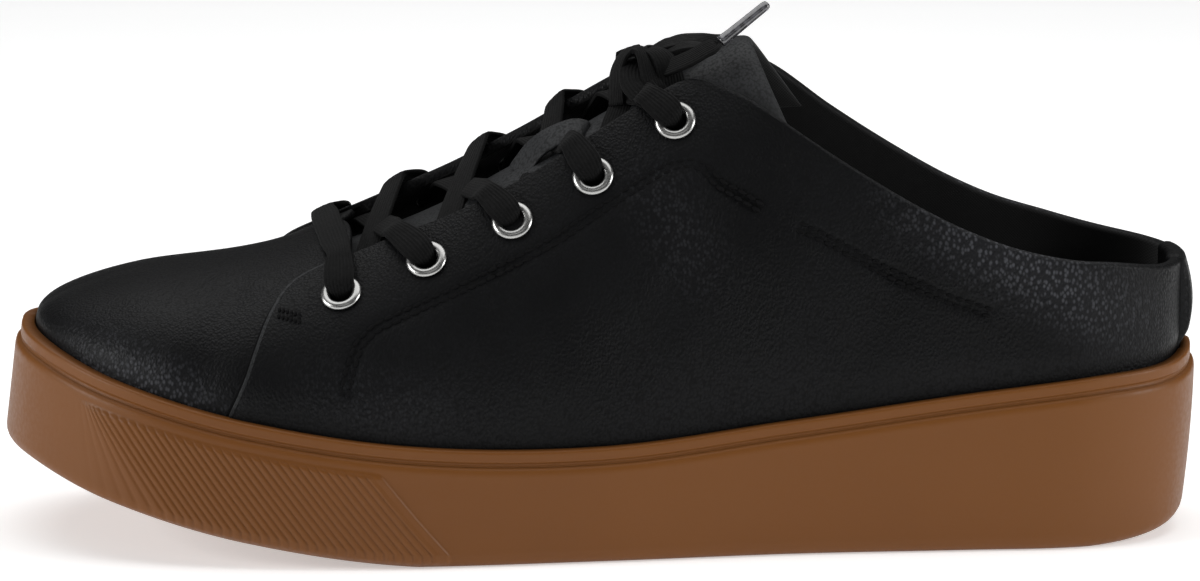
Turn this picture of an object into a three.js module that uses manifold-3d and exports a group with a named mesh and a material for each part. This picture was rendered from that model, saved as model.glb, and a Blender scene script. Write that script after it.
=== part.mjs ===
// Lace-up sneaker mule for the left foot: an open-backed leather upper on a thick moulded cup sole.
// Millimetres, +Z up. The toe points to -X and the outer (lateral) side of the foot to -Y.
// The origin is on the floor, under the middle of the sole's length.
import * as THREE from 'three';
import { mergeVertices } from 'three/addons/utils/BufferGeometryUtils.js';
import Module from 'manifold-3d';

const wasm = await Module();
wasm.setup();

// Driving dimensions of the last
const LENGTH = 274; // sole, back of heel to tip of toe
const BALL_WIDTH = 98; // sole, across the ball of the foot
const HEEL_HEIGHT = 43; // rim of the sole above the floor, at the back of the heel
const INSTEP_RISE = 86; // top of the last above the rim, at the instep

// Sole
const TOE_LEAN = 3.5; // how far the rim leans back at the tip of the toe
const LEAN_TURN = 0.7; // the rim starts to lean back here
const HEEL_TUCK = 3; // how far the wall tucks in under the heel
const TUCK_TURN = 0.25; // the wall is tucked in behind here
const RIM_HEIGHT = 3.4; // flat band at the top of the wall
const RIM_INSET = 1; // the band stands this far inside the wall
const GROOVE_DEPTH = 0.6; // groove under the band, measured from the band
const GROOVE_HEIGHT = 0.9;
const SHOULDER = 2.2; // rounding of the wall below the groove
const FOOT_ROUND = 3.2; // rounding where the wall meets the floor
const CUP_DEPTH = 12; // from the rim down to the floor of the cup
const RIM_ROUND = 0.6; // chamfer of the rim's upper edge
const PANEL_REACH = 96; // back edge of the textured toe panel at mid height, from the tip of the toe
const PANEL_FRONT = 15; // where the panel has died out, from the tip of the toe
const PANEL_FADE = 17.4; // length over which it dies out
const PANEL_STEP = 0.5; // the panel stands proud of the wall
const PANEL_THIN = 0.1; // what is left of that step at the front
const PANEL_FOOT = 2; // plain wall kept under the panel
const PANEL_HEAD = 3.4; // plain wall kept between the panel and the groove
const PLAIN_BAND = 4.6; // smooth part of the panel, behind the last ridge
const RIB_DEPTH = 0.45; // ridges of the panel
const RIB_PITCH = 2.9; // ridge to ridge, along the foot
const RIB_SLANT = 16; // how far a ridge runs forward between its bottom and its top
const SINK = 0.8; // how deep a fused piece reaches into the wall

// Upper
const UPPER_INSET = 4.2; // vamp inside the sole's outline
const LEATHER = 1.8; // wall of the vamp, lining included
const QUARTER_STEP = 1.1; // the quarters lie over the vamp by this much
const STRIP_STEP = 0.8; // the heel strip lies over the quarters
const STRIP_TURN = 0.045; // half width of the heel strip, as a turn
const SEAT_SHARE = 0.4; // share of a step that is left where the upper goes into the cup
const FIT = 0.3; // clearance between neighbouring pieces

// Insole and tongue
const INSOLE_THICK = 4;
const INSOLE_BEVEL = 1.2; // bevel round its top
const INSOLE_GAP = 0.6; // insole to the inside of the upper
const TONGUE_THICK = 3.6;
const TONGUE_GAP = 0.7; // tongue below the inside of the upper
const TONGUE_TOP = -LEATHER - TONGUE_GAP; // its upper face, from the last's surface
const TONGUE_SAG = 5.2; // inside the throat its middle hangs this much lower still
const SAG_EDGE = 0.25; // share of that sag under the quarters' edges
const TONGUE_EDGE = 0.55; // share of its thickness that is left along its edges
const TONGUE_ROOT = 0.7; // front end of the tongue, as a turn
const TONGUE_TIP = 0.428; // top end of the tongue at its middle, as a turn
const TONGUE_DROP = 0.024; // the corners of the top end lie this much further back
const TONGUE_LONG = 12; // faces along it
const TONGUE_WIDE = 8; // faces across it

// Eyelets and lace
const HOLE_RADIUS = 2.5; // inside an eyelet
const ROUND = 10; // facets round an eyelet
const BARREL_WALL = 0.5;
const FLANGE_RADIUS = 4.7;
const FLANGE_THICK = 0.8;
const FLANGE_BEVEL = 0.9; // round its outer edge
const LACE_WIDTH = 6;
const LACE_THICK = 1.3;
const BAND_EDGE = 0.75; // share of a band's width that its flat faces take
const LACE_REST = 1.1; // clearance of the lace over the tongue
const LACE_HIGH = QUARTER_STEP + 3 * FIT + FLANGE_THICK + LACE_THICK / 2; // its middle, on an eyelet
const LACE_BOW = 0.9; // how far the lower run of a crossing bows up, and the upper one down
const BAR_BOW = 1.2; // how far the bar bows up over the throat
const BAR_LEAN = 0.009; // turn by which its inner end lies nearer to the toe
const LACE_DIP = 0.45; // how far it sinks into an eyelet
const LACE_TIP = 0.55; // share of its width that is left inside an eyelet
const LACE_CLEAR = 0.065; // from the quarter's edge to the lace that comes out under it, as a rise
const LACE_BRINK = 0.95; // share of the way to an eyelet's centre where the lace starts to dip
const RUN_STEPS = 5; // pieces of a run of lace between the quarters' edges
const LANDING_STEPS = 5; // and from an edge into an eyelet, the last one over its brink
const KEEPER_WIDTH = 8; // lace loop on the tongue
const KEEPER_LENGTH = 21;
const KEEPER_THICK = 1.2;
const KEEPER_ACROSS = -0.16; // its place across the throat, on the tongue's outer slope
const KEEPER_RISE = 5.2; // how far its middle stands over the tongue
const KEEPER_RAMP = 0.4; // share of its half length over which it climbs
const KEEPER_STEPS = 8;
const KNOT_SIZE = 13; // across the foot
const KNOT_LEVEL = 3; // its middle, over the last's surface
const AGLET_RADIUS = 1.4;
const AGLET_LENGTH = 14;

// Outline of the sole. A turn runs from 0 at the heel to 1 at the toe, closer together at both ends.
// Shares of BALL_WIDTH: where the middle line lies, and the half widths to each side of it.
const PLAN = [
  { turn: 0.0, middle: 0.0, lateral: 0.0, medial: 0.0 },
  { turn: 0.1, middle: 0.0, lateral: 0.219, medial: 0.214 },
  { turn: 0.2, middle: 0.0, lateral: 0.337, medial: 0.332 },
  { turn: 0.3, middle: 0.0, lateral: 0.363, medial: 0.347 },
  { turn: 0.4, middle: 0.0, lateral: 0.388, medial: 0.352 },
  { turn: 0.5, middle: 0.003, lateral: 0.452, medial: 0.388 },
  { turn: 0.6, middle: 0.012, lateral: 0.507, medial: 0.449 },
  { turn: 0.7, middle: 0.027, lateral: 0.506, medial: 0.48 },
  { turn: 0.8, middle: 0.041, lateral: 0.423, medial: 0.413 },
  { turn: 0.9, middle: 0.051, lateral: 0.24, medial: 0.245 },
  { turn: 1.0, middle: 0.056, lateral: 0.0, medial: 0.0 },
];

// Side view of the sole. Shares of HEEL_HEIGHT: its underside with the toe spring, and its rim.
const SIDE = [
  { turn: 0.0, under: 0.105, rim: 0.995 },
  { turn: 0.1, under: 0.042, rim: 0.944 },
  { turn: 0.2, under: 0.0, rim: 0.912 },
  { turn: 0.3, under: 0.0, rim: 0.833 },
  { turn: 0.4, under: 0.0, rim: 0.716 },
  { turn: 0.5, under: 0.0, rim: 0.612 },
  { turn: 0.6, under: 0.0, rim: 0.637 },
  { turn: 0.7, under: 0.121, rim: 0.767 },
  { turn: 0.8, under: 0.291, rim: 0.937 },
  { turn: 0.9, under: 0.437, rim: 1.077 },
  { turn: 1.0, under: 0.488, rim: 1.13 },
];

// Crest of the last. Its height over the rim is a share of INSTEP_RISE, and its place across is a
// share of BALL_WIDTH. The fullness numbers shape a section: low ones make it squarer.
const CREST = [
  { turn: 0.0, across: 0.0, rise: 0.712, side: 0.5, top: 1.0 },
  { turn: 0.1, across: 0.0, rise: 0.76, side: 0.5, top: 1.0 },
  { turn: 0.2, across: 0.0, rise: 0.823, side: 0.55, top: 1.0 },
  { turn: 0.3, across: 0.005, rise: 0.909, side: 0.65, top: 1.0 },
  { turn: 0.4, across: 0.01, rise: 1.002, side: 0.85, top: 1.0 },
  { turn: 0.45, across: 0.015, rise: 0.986, side: 0.95, top: 1.0 },
  { turn: 0.5, across: 0.026, rise: 0.909, side: 1.0, top: 1.0 },
  { turn: 0.55, across: 0.036, rise: 0.777, side: 1.0, top: 1.0 },
  { turn: 0.6, across: 0.041, rise: 0.63, side: 1.0, top: 1.0 },
  { turn: 0.65, across: 0.046, rise: 0.486, side: 1.0, top: 1.0 },
  { turn: 0.7, across: 0.051, rise: 0.367, side: 0.95, top: 0.95 },
  { turn: 0.8, across: 0.051, rise: 0.228, side: 0.9, top: 0.9 },
  { turn: 0.9, across: 0.053, rise: 0.092, side: 0.85, top: 0.9 },
  { turn: 1.0, across: 0.056, rise: 0.0, side: 0.85, top: 0.9 },
];

// Collar and throat edge. A rise runs from 0 at the rim to 1 at the crest of the last.
const TOPLINE = [
  { turn: 0.0, lateral: 0.206, medial: 0.206 },
  { turn: 0.1, lateral: 0.215, medial: 0.22 },
  { turn: 0.17, lateral: 0.229, medial: 0.232 },
  { turn: 0.22, lateral: 0.241, medial: 0.259 },
  { turn: 0.27, lateral: 0.276, medial: 0.305 },
  { turn: 0.32, lateral: 0.35, medial: 0.392 },
  { turn: 0.37, lateral: 0.459, medial: 0.518 },
  { turn: 0.405, lateral: 0.563, medial: 0.65 },
  { turn: 0.43, lateral: 0.655, medial: 0.745 },
  { turn: 0.455, lateral: 0.736, medial: 0.815 },
  { turn: 0.48, lateral: 0.712, medial: 0.822 },
  { turn: 0.51, lateral: 0.672, medial: 0.78 },
  { turn: 0.54, lateral: 0.642, medial: 0.75 },
  { turn: 0.58, lateral: 0.63, medial: 0.742 },
  { turn: 0.61, lateral: 0.643, medial: 0.768 },
  { turn: 0.642, lateral: 0.641, medial: 0.8 },
];
const PEAK_TURN = 0.45; // top of the quarters, where the collar ends and the throat starts
const THROAT_TURN = 0.642; // front corners of the throat
const THROAT_ROUND = 0.02; // how far the vamp's edge bows forward between those corners

// Front edge of a quarter, from the rim (row 0) to the throat's corner (row 1).
// Its rise is a share of the rise at that corner.
const FRONT_EDGE = [
  { row: 0.0, turn: 0.714, rise: 0.0 },
  { row: 0.2, turn: 0.704, rise: 0.24 },
  { row: 0.4, turn: 0.697, rise: 0.485 },
  { row: 0.55, turn: 0.691, rise: 0.69 },
  { row: 0.7, turn: 0.683, rise: 0.865 },
  { row: 0.8, turn: 0.675, rise: 0.945 },
  { row: 0.9, turn: 0.661, rise: 0.988 },
  { row: 1.0, turn: 0.642, rise: 1.0 },
];
const FRONT_TURN = FRONT_EDGE[0].turn;
const THROAT_FOOT = 0.76; // the first vamp column that ends on the crest starts here at the rim

// Eyelets, from the toe up to the ankle
const EYELETS = [
  { turn: 0.645, lateral: 0.483, medial: 0.66 },
  { turn: 0.596, lateral: 0.504, medial: 0.625 },
  { turn: 0.549, lateral: 0.519, medial: 0.61 },
  { turn: 0.506, lateral: 0.548, medial: 0.655 },
  { turn: 0.462, lateral: 0.616, medial: 0.7 },
];

const KEEPER_TURN = (EYELETS[2].turn + EYELETS[3].turn) / 2;

// How far down the tongue reaches on each side, as a rise
const TONGUE_EDGES = [
  { turn: 0.4, lateral: 0.44, medial: 0.54 },
  { turn: 0.5, lateral: 0.42, medial: 0.5 },
  { turn: 0.6, lateral: 0.44, medial: 0.54 },
  { turn: 0.7, lateral: 0.56, medial: 0.66 },
];

// Where the tongue hangs below the arch of the last, as a share of its sag
const TONGUE_FALL = [
  { turn: 0.4, share: 0.0 },
  { turn: 0.43, share: 0.0 },
  { turn: 0.46, share: 0.5 },
  { turn: 0.5, share: 1.0 },
  { turn: 0.6, share: 1.0 },
  { turn: 0.65, share: 0.6 },
  { turn: 0.7, share: 0.3 },
];

// Knot: two rounded lumps of lace drawn together. Half sizes along the foot, across it and upwards, and
// shifts the same three ways, as shares of KNOT_SIZE.
const KNOT_PLACE = { turn: 0.478, across: -0.05 };
const KNOT_LUMPS = [
  { half: [0.43, 0.49, 0.2], shift: [-0.06, 0, 0] },
  { half: [0.305, 0.345, 0.19], shift: [0.17, 0.08, 0.03] },
];

// Free stretches of the lace: [distance from the heel, y, height]
const LOOP_ROUTE = [
  [120.6, 2.5, 112.2], [117.4, 4.5, 114], [113, 6.6, 115.2], [108.2, 8.6, 115], [104, 10.2, 113.6],
  [102.4, 11.4, 112.1], [105.4, 12.2, 111.2], [110.5, 12.4, 110.9], [114.8, 11.8, 110.6],
  [118.6, 10.4, 110.6],
];
const LATERAL_END_ROUTE = [
  [132, -9.6, 107], [129.2, -10.4, 107.8], [126, -11.4, 109], [122.6, -12.4, 110.5], [119, -13.2, 111.9],
  [115.4, -13.6, 113.1], [111.4, -13.6, 114.2],
];
const LATERAL_AGLET = [[110.8, -13.2, 114.6], [99.8, -10.6, 123]];
const LATERAL_END_FACING = [0, -0.75, 0.66]; // the way its flat side faces
// The other end lies on the medial quarter: [across, turn, level over the last]
const MEDIAL_END_ROUTE = [
  [0.125, 0.484, 5.6], [0.18, 0.484, 5.4], [0.24, 0.484, 4.6], [0.31, 0.485, 3.2], [0.38, 0.487, 2.5],
  [0.45, 0.489, 2.3], [0.52, 0.491, 2.3], [0.59, 0.493, 2.3],
];
const MEDIAL_AGLET = [[0.602, 0.4935, 2.9], [0.79, 0.499, 3.1]];

// Columns of the upper at the rim, and its rows above the rim
const QUARTER_COLUMNS = [
  0.075, 0.11, 0.15, 0.195, 0.24, 0.285, 0.33, 0.37, 0.405, 0.43, 0.455, 0.485, 0.52, 0.56, 0.6, 0.64, 0.68,
];
const VAMP_COLUMNS = [0.724, 0.736, 0.748, THROAT_FOOT, 0.785, 0.815, 0.845, 0.875, 0.905, 0.935, 0.965];
const ROWS = 9;

const LATERAL = -1;
const MEDIAL = 1;

// Smooth curve through a table's column
function smooth(table, column, at, key = 'turn') {
  const x = Math.min(Math.max(at, table[0][key]), table[table.length - 1][key]);
  let i = 0;
  while (i < table.length - 2 && table[i + 1][key] <= x) i += 1;
  const slope = (j) => {
    const a = table[Math.max(j - 1, 0)];
    const b = table[Math.min(j + 1, table.length - 1)];
    return (b[column] - a[column]) / (b[key] - a[key]);
  };
  const span = table[i + 1][key] - table[i][key];
  const t = (x - table[i][key]) / span;
  const start = table[i][column];
  const end = table[i + 1][column];
  return start * (2 * t ** 3 - 3 * t ** 2 + 1) + slope(i) * span * (t ** 3 - 2 * t ** 2 + t)
    + end * (3 * t ** 2 - 2 * t ** 3) + slope(i + 1) * span * (t ** 3 - t ** 2);
}

const ease = (t) => Math.min(Math.max(t, 0), 1) ** 2 * (3 - 2 * Math.min(Math.max(t, 0), 1));
const mix = (a, b, t) => a + (b - a) * t;
const sideName = (side) => (side === LATERAL ? 'lateral' : 'medial');

// Distance from the heel at a turn, between a start and an end
const station = (turn, start = 0, end = LENGTH) => mix(start, end, (1 - Math.cos(Math.PI * turn)) / 2);
const turnAt = (distance) => Math.acos(1 - 2 * distance / LENGTH) / Math.PI;

const underside = (turn) => HEEL_HEIGHT * Math.max(0, smooth(SIDE, 'under', turn));
const rim = (turn) => HEEL_HEIGHT * smooth(SIDE, 'rim', turn);
const toeLean = (turn) => TOE_LEAN * Math.max(0, (turn - LEAN_TURN) / (1 - LEAN_TURN)) ** 1.5;
const heelTuck = (turn) => HEEL_TUCK * Math.max(0, (TUCK_TURN - turn) / TUCK_TURN);

// Point of the sole's outline, moved inwards by an inset: [distance from the heel, y]
function outline(side, turn, inset = 0) {
  const raw = (at) => {
    const folded = at < 0 ? -at : at > 1 ? 2 - at : at;
    const hand = folded === at ? side : -side;
    const half = smooth(PLAN, sideName(hand), folded) * BALL_WIDTH;
    return [station(folded), smooth(PLAN, 'middle', folded) * BALL_WIDTH + hand * half];
  };
  const [s, y] = raw(turn);
  const before = raw(turn - 0.001);
  const after = raw(turn + 0.001);
  const along = [after[0] - before[0], after[1] - before[1]];
  const size = Math.hypot(...along);
  return [s + along[1] * side * inset / size, y - along[0] * side * inset / size];
}

const toPoint = (s, y, z) => new THREE.Vector3(LENGTH / 2 - s, y, z);

// Surface of the last over the rim
function lastPoint(side, turn, rise) {
  const [footS, footY] = outline(side, turn, UPPER_INSET + toeLean(turn));
  const crestS = station(turn, UPPER_INSET, LENGTH - TOE_LEAN - UPPER_INSET);
  const crestY = smooth(CREST, 'across', turn) * BALL_WIDTH;
  const crestZ = rim(turn) + smooth(CREST, 'rise', turn) * INSTEP_RISE;
  const angle = rise * Math.PI / 2;
  const inward = 1 - Math.max(Math.cos(angle), 0) ** smooth(CREST, 'side', turn);
  const upward = Math.sin(angle) ** smooth(CREST, 'top', turn);
  const height = mix(rim(turn), crestZ, upward);
  return toPoint(mix(footS, crestS, inward), mix(footY, crestY, inward), height);
}

// Outward normal of the last
function lastNormal(side, turn, rise) {
  const step = 0.004;
  const at = Math.min(rise, 1 - step);
  const along = lastPoint(side, turn + step, at).sub(lastPoint(side, turn - step, at));
  const up = lastPoint(side, turn, at + step).sub(lastPoint(side, turn, Math.max(at - step, 0)));
  return along.cross(up).multiplyScalar(side).normalize();
}

// The same, but shared by both sides where they meet: along the crest, and at the heel and the toe
function outward(side, turn, rise) {
  const END = 0.02;
  const inside = Math.min(Math.max(turn, END), 1 - END);
  if (rise < 1 && inside === turn) return lastNormal(side, turn, rise);
  return lastNormal(LATERAL, inside, rise).add(lastNormal(MEDIAL, inside, rise)).normalize();
}

const offsetPoint = (side, turn, rise, offset) => lastPoint(side, turn, rise)
  .addScaledVector(outward(side, turn, rise), offset);

// Closed geometry from points and triangles, with merged points and outward faces
function closedGeometry(points, triangles) {
  const loose = new THREE.BufferGeometry();
  loose.setAttribute('position', new THREE.Float32BufferAttribute(points.flatMap((p) => p.toArray()), 3));
  loose.setIndex(triangles.flat());
  const merged = mergeVertices(loose, 0.001);
  const index = merged.index.array;
  const kept = [];
  for (let i = 0; i < index.length; i += 3) {
    const [a, b, c] = [index[i], index[i + 1], index[i + 2]];
    if (a !== b && b !== c && c !== a) kept.push([a, b, c]);
  }
  const position = merged.attributes.position;
  const corner = (i) => new THREE.Vector3().fromBufferAttribute(position, i);
  let volume = 0;
  for (const [a, b, c] of kept) volume += corner(a).dot(corner(b).cross(corner(c)));
  merged.setIndex(kept.flatMap(([a, b, c]) => (volume > 0 ? [a, b, c] : [a, c, b])));
  return merged;
}

// Triangles of a grid of columns, each with as many points, numbered column by column
function gridFaces(columns, rows, start = 0, around = false) {
  const faces = [];
  const id = (c, r) => start + (c % columns) * rows + r;
  for (let c = 0; c < (around ? columns : columns - 1); c += 1) {
    for (let r = 0; r < rows - 1; r += 1) {
      faces.push([id(c, r), id(c + 1, r), id(c + 1, r + 1)], [id(c, r), id(c + 1, r + 1), id(c, r + 1)]);
    }
  }
  return faces;
}

// Closed ring of columns, each a closed loop of points. Where two columns are both joined to their
// opposite ones, the face between a loop's points at the joined row and the next is left out.
function ringGeometry(loops, joined, joinedRow) {
  const rows = loops[0].length + 1;
  const closed = loops.map((loop) => [...loop, loop[0]]);
  const faces = gridFaces(loops.length, rows, 0, true).filter(([first], i) => {
    const column = Math.floor(i / 2 / (rows - 1));
    const row = first % rows;
    return row !== joinedRow || !joined[column] || !joined[(column + 1) % loops.length];
  });
  return closedGeometry(closed.flat(), faces);
}

// Solid between an outer and an inner skin, both open grids of the same size
function shellGeometry(outer, inner) {
  const columns = outer.length;
  const loops = outer.map((column, i) => [...column, ...[...inner[i]].reverse()]);
  const rows = loops[0].length;
  const closed = loops.map((loop) => [...loop, loop[0]]);
  const faces = gridFaces(columns, rows + 1);
  const half = outer[0].length;
  for (const c of [0, columns - 1]) {
    for (let r = 0; r < half - 1; r += 1) {
      const base = c * (rows + 1);
      const quad = [base + r, base + r + 1, base + rows - 2 - r, base + rows - 1 - r];
      const [p, q, u, v] = c === 0 ? quad : [...quad].reverse();
      faces.push([p, q, u], [p, u, v]);
    }
  }
  return closedGeometry(closed.flat(), faces);
}

function toManifold(geometry) {
  const bare = geometry.clone();
  for (const name of Object.keys(bare.attributes)) if (name !== 'position') bare.deleteAttribute(name);
  const merged = mergeVertices(bare, 0.001);
  return new wasm.Manifold(new wasm.Mesh({
    numProp: 3,
    vertProperties: new Float32Array(merged.attributes.position.array),
    triVerts: new Uint32Array(merged.index.array),
  }));
}

function fromManifold(solid) {
  const mesh = solid.getMesh();
  const points = [];
  for (let i = 0; i < mesh.vertProperties.length; i += mesh.numProp) {
    points.push(new THREE.Vector3(...mesh.vertProperties.slice(i, i + 3)));
  }
  const faces = [];
  for (let i = 0; i < mesh.triVerts.length; i += 3) faces.push([...mesh.triVerts.slice(i, i + 3)]);
  return closedGeometry(points, faces);
}

// Bands of the upper: which column lies under which overlay. An edge of an overlay has two columns.
function bandColumns() {
  const strip = [0, STRIP_TURN / 2, STRIP_TURN].map((turn) => ({ turn, step: QUARTER_STEP + STRIP_STEP }));
  const quarter = [STRIP_TURN, ...QUARTER_COLUMNS, FRONT_TURN].map((turn) => ({ turn, step: QUARTER_STEP }));
  const vamp = [FRONT_TURN, ...VAMP_COLUMNS, 1].map((turn) => ({ turn, step: 0 }));
  return [...strip, ...quarter, ...vamp];
}

// Both sides of a list of columns, as one ring round the foot. The sides share the first and last one.
function aroundFoot(columns) {
  return [
    ...columns.map((column) => ({ ...column, side: LATERAL })),
    ...columns.slice(1, -1).reverse().map((column) => ({ ...column, side: MEDIAL })),
  ];
}

// Where a column of the upper passes at a row: its turn and its rise
function columnAt(side, turn, row) {
  const edgeTurn = smooth(FRONT_EDGE, 'turn', row, 'row');
  const edgeRise = smooth(FRONT_EDGE, 'rise', row, 'row');
  const lean = (FRONT_TURN - edgeTurn) / (FRONT_TURN - THROAT_TURN);
  const corner = smooth(TOPLINE, sideName(side), THROAT_TURN);
  if (turn <= FRONT_TURN) {
    const share = Math.max(0, (turn - PEAK_TURN) / (FRONT_TURN - PEAK_TURN));
    const top = turn - (FRONT_TURN - THROAT_TURN) * share;
    const edge = smooth(TOPLINE, sideName(side), top);
    const pull = share ** 2;
    return { turn: mix(turn, top, mix(row, lean, pull)), rise: edge * mix(row, edgeRise, pull) };
  }
  const round = Math.min(1, (turn - FRONT_TURN) / (THROAT_FOOT - FRONT_TURN)) * Math.PI / 2;
  const bow = THROAT_TURN + THROAT_ROUND * (1 - Math.cos(round));
  const beyond = Math.max(0, (turn - THROAT_FOOT) / (1 - THROAT_FOOT));
  const top = mix(bow, 1, beyond);
  const rise = mix(corner, 1, Math.sin(round));
  const share = (1 - (turn - FRONT_TURN) / (1 - FRONT_TURN)) ** 2;
  return { turn: mix(turn, top, mix(row, lean, share)), rise: rise * mix(row, edgeRise, share) };
}

// How much of an overlay's step shows at a row: it thins towards the sole
const stepShare = (row) => mix(SEAT_SHARE, 1, ease(row * ROWS / 2));

// Upper: vamp, quarters and heel strip as one hollow wall, open at the collar, throat and underneath
function upperGeometry() {
  const ring = aroundFoot(bandColumns());
  const outer = [];
  const inner = [];
  for (const { side, turn, step } of ring) {
    const skirt = toPoint(...outline(side, turn, UPPER_INSET + toeLean(turn)), rim(turn) - CUP_DEPTH + FIT);
    const flat = outward(side, turn, 0).setZ(0).normalize();
    const column = [skirt.clone().addScaledVector(flat, step * SEAT_SHARE)];
    const lining = [skirt.clone().addScaledVector(flat, -LEATHER)];
    for (let r = 0; r <= ROWS; r += 1) {
      const at = columnAt(side, turn, r / ROWS);
      column.push(offsetPoint(side, at.turn, at.rise, step * stepShare(r / ROWS)));
      lining.push(offsetPoint(side, at.turn, at.rise, -LEATHER));
    }
    outer.push(column);
    inner.push(lining);
  }
  const joined = ring.map(({ turn }) => turn >= THROAT_FOOT);
  return ringGeometry(outer.map((column, i) => [...column, ...inner[i].reverse()]), joined, ROWS + 1);
}

// Frame of an eyelet: its centre on the quarter and the way it faces
function eyeletFrame(side, eyelet) {
  const rise = eyelet[sideName(side)];
  const facing = lastNormal(side, eyelet.turn, rise);
  const centre = offsetPoint(side, eyelet.turn, rise, QUARTER_STEP);
  return { centre, turned: new THREE.Quaternion().setFromUnitVectors(new THREE.Vector3(0, 1, 0), facing) };
}

function placed(geometry, { centre, turned }) {
  return geometry.applyQuaternion(turned).translate(...centre.toArray());
}

function eyeletHole(side, eyelet) {
  const depth = 4 * (LEATHER + QUARTER_STEP);
  const radius = HOLE_RADIUS + BARREL_WALL + FIT;
  return placed(new THREE.CylinderGeometry(radius, radius, depth, ROUND), eyeletFrame(side, eyelet));
}

function eyeletGeometry(side, eyelet) {
  const barrel = HOLE_RADIUS + BARREL_WALL;
  const profile = [
    [HOLE_RADIUS, -LEATHER - QUARTER_STEP], [barrel, -LEATHER - QUARTER_STEP], [barrel, FIT],
    [FLANGE_RADIUS, FIT], [FLANGE_RADIUS - FLANGE_BEVEL, FIT + FLANGE_THICK],
    [HOLE_RADIUS, FIT + FLANGE_THICK / 2], [HOLE_RADIUS, -LEATHER - QUARTER_STEP],
  ];
  const ring = new THREE.LatheGeometry(profile.map(([r, h]) => new THREE.Vector2(r, h)), ROUND);
  return placed(ring, eyeletFrame(side, eyelet));
}

// Inset of the cup's inner wall, which follows the steps of the upper
const cupInset = (turn, step) => UPPER_INSET + toeLean(turn) - step * SEAT_SHARE - FIT;

// Outer wall of the sole at a column, from the floor up to the rim: [inset, height]
function wallProfile(turn) {
  const under = underside(turn);
  const top = rim(turn);
  const groove = top - RIM_HEIGHT - GROOVE_HEIGHT;
  const lean = (height) => toeLean(turn) * (height - under) / (top - under);
  const tuck = (height) => heelTuck(turn) * (1 - (height - under) / (top - under)) ** 2;
  const wall = (height, extra) => [lean(height) + tuck(height) + extra, height];
  return [
    wall(under, FOOT_ROUND),
    wall(under + FOOT_ROUND * 0.3, FOOT_ROUND * 0.3),
    wall(under + FOOT_ROUND, 0),
    wall(mix(under, groove, 0.5), 0),
    wall(groove - SHOULDER, 0),
    wall(groove - SHOULDER * 0.4, RIM_INSET * 0.35),
    wall(groove, RIM_INSET + GROOVE_DEPTH * 0.6),
    wall(groove + GROOVE_HEIGHT * 0.5, RIM_INSET + GROOVE_DEPTH),
    wall(groove + GROOVE_HEIGHT, RIM_INSET),
    wall(top - RIM_ROUND, RIM_INSET),
    wall(top, RIM_INSET + RIM_ROUND),
  ];
}

// Solid with side walls at each column and a flat-bottomed web across the foot at both ends of its profile
function crossSolid(columns, profileAt) {
  const ring = aroundFoot(columns);
  const walls = ring.map((column) => profileAt(column));
  const rows = walls[0].length;
  const faces = gridFaces(ring.length, rows, 0, true);
  const count = columns.length;
  const other = (c) => (2 * count - 2 - c) % ring.length;
  for (let c = 0; c < count - 1; c += 1) {
    const low = [c, c + 1, other(c + 1), other(c)].map((column) => column * rows);
    const high = low.map((id) => id + rows - 1);
    faces.push([low[0], low[2], low[1]], [low[0], low[3], low[2]]);
    faces.push([high[0], high[1], high[2]], [high[0], high[2], high[3]]);
  }
  return closedGeometry(walls.flat(), faces);
}

// One column for each turn: where an overlay has its edge, the thicker side of it
const singleColumns = () => bandColumns().filter(({ turn }, i, all) => i === 0 || turn !== all[i - 1].turn);

function cupGeometry() {
  return crossSolid(singleColumns(), ({ side, turn, step }) => {
    const inner = cupInset(turn, step);
    const profile = [...wallProfile(turn), [inner, rim(turn)], [inner, rim(turn) - CUP_DEPTH]];
    return profile.map(([inset, height]) => toPoint(...outline(side, turn, inset), height));
  });
}

// Toe panel of one side: a slanted, ribbed plate fused onto the wall
function toePanel(side) {
  const back = LENGTH - PANEL_REACH;
  const front = LENGTH - PANEL_FRONT;
  const halves = 2 * Math.round((front - back) / RIB_PITCH);
  const outer = [];
  const inner = [];
  for (let i = 0; i <= halves; i += 1) {
    const middle = mix(back, front, i / halves);
    const fade = ease((front - middle) / PANEL_FADE);
    const ridge = i % 2 === 1 && middle > back + PLAIN_BAND ? RIB_DEPTH * fade : 0;
    const proud = mix(PANEL_THIN, PANEL_STEP, fade) + ridge;
    const skin = [];
    const root = [];
    for (const lift of [0, 1]) {
      const turn = turnAt(middle + RIB_SLANT * fade * (lift - 0.5));
      const low = underside(turn) + PANEL_FOOT;
      const high = rim(turn) - RIM_HEIGHT - GROOVE_HEIGHT - PANEL_HEAD;
      const height = mix(low, high, lift);
      const lean = toeLean(turn) * (height - underside(turn)) / (rim(turn) - underside(turn));
      skin.push(toPoint(...outline(side, turn, lean - proud), height));
      root.push(toPoint(...outline(side, turn, lean + SINK), height));
    }
    outer.push(skin);
    inner.push(root);
  }
  return shellGeometry(outer, inner);
}

function soleGeometry() {
  let solid = toManifold(cupGeometry());
  for (const side of [LATERAL, MEDIAL]) solid = solid.add(toManifold(toePanel(side)));
  return fromManifold(solid);
}

function insoleGeometry() {
  const edge = UPPER_INSET + LEATHER + INSOLE_GAP;
  return crossSolid(singleColumns(), ({ side, turn }) => {
    const floor = rim(turn) - CUP_DEPTH + FIT;
    const inset = edge + toeLean(turn);
    return [
      [inset, floor],
      [inset, floor + INSOLE_THICK - INSOLE_BEVEL],
      [inset + INSOLE_BEVEL, floor + INSOLE_THICK],
    ].map(([inward, height]) => toPoint(...outline(side, turn, inward), height));
  });
}

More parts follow.
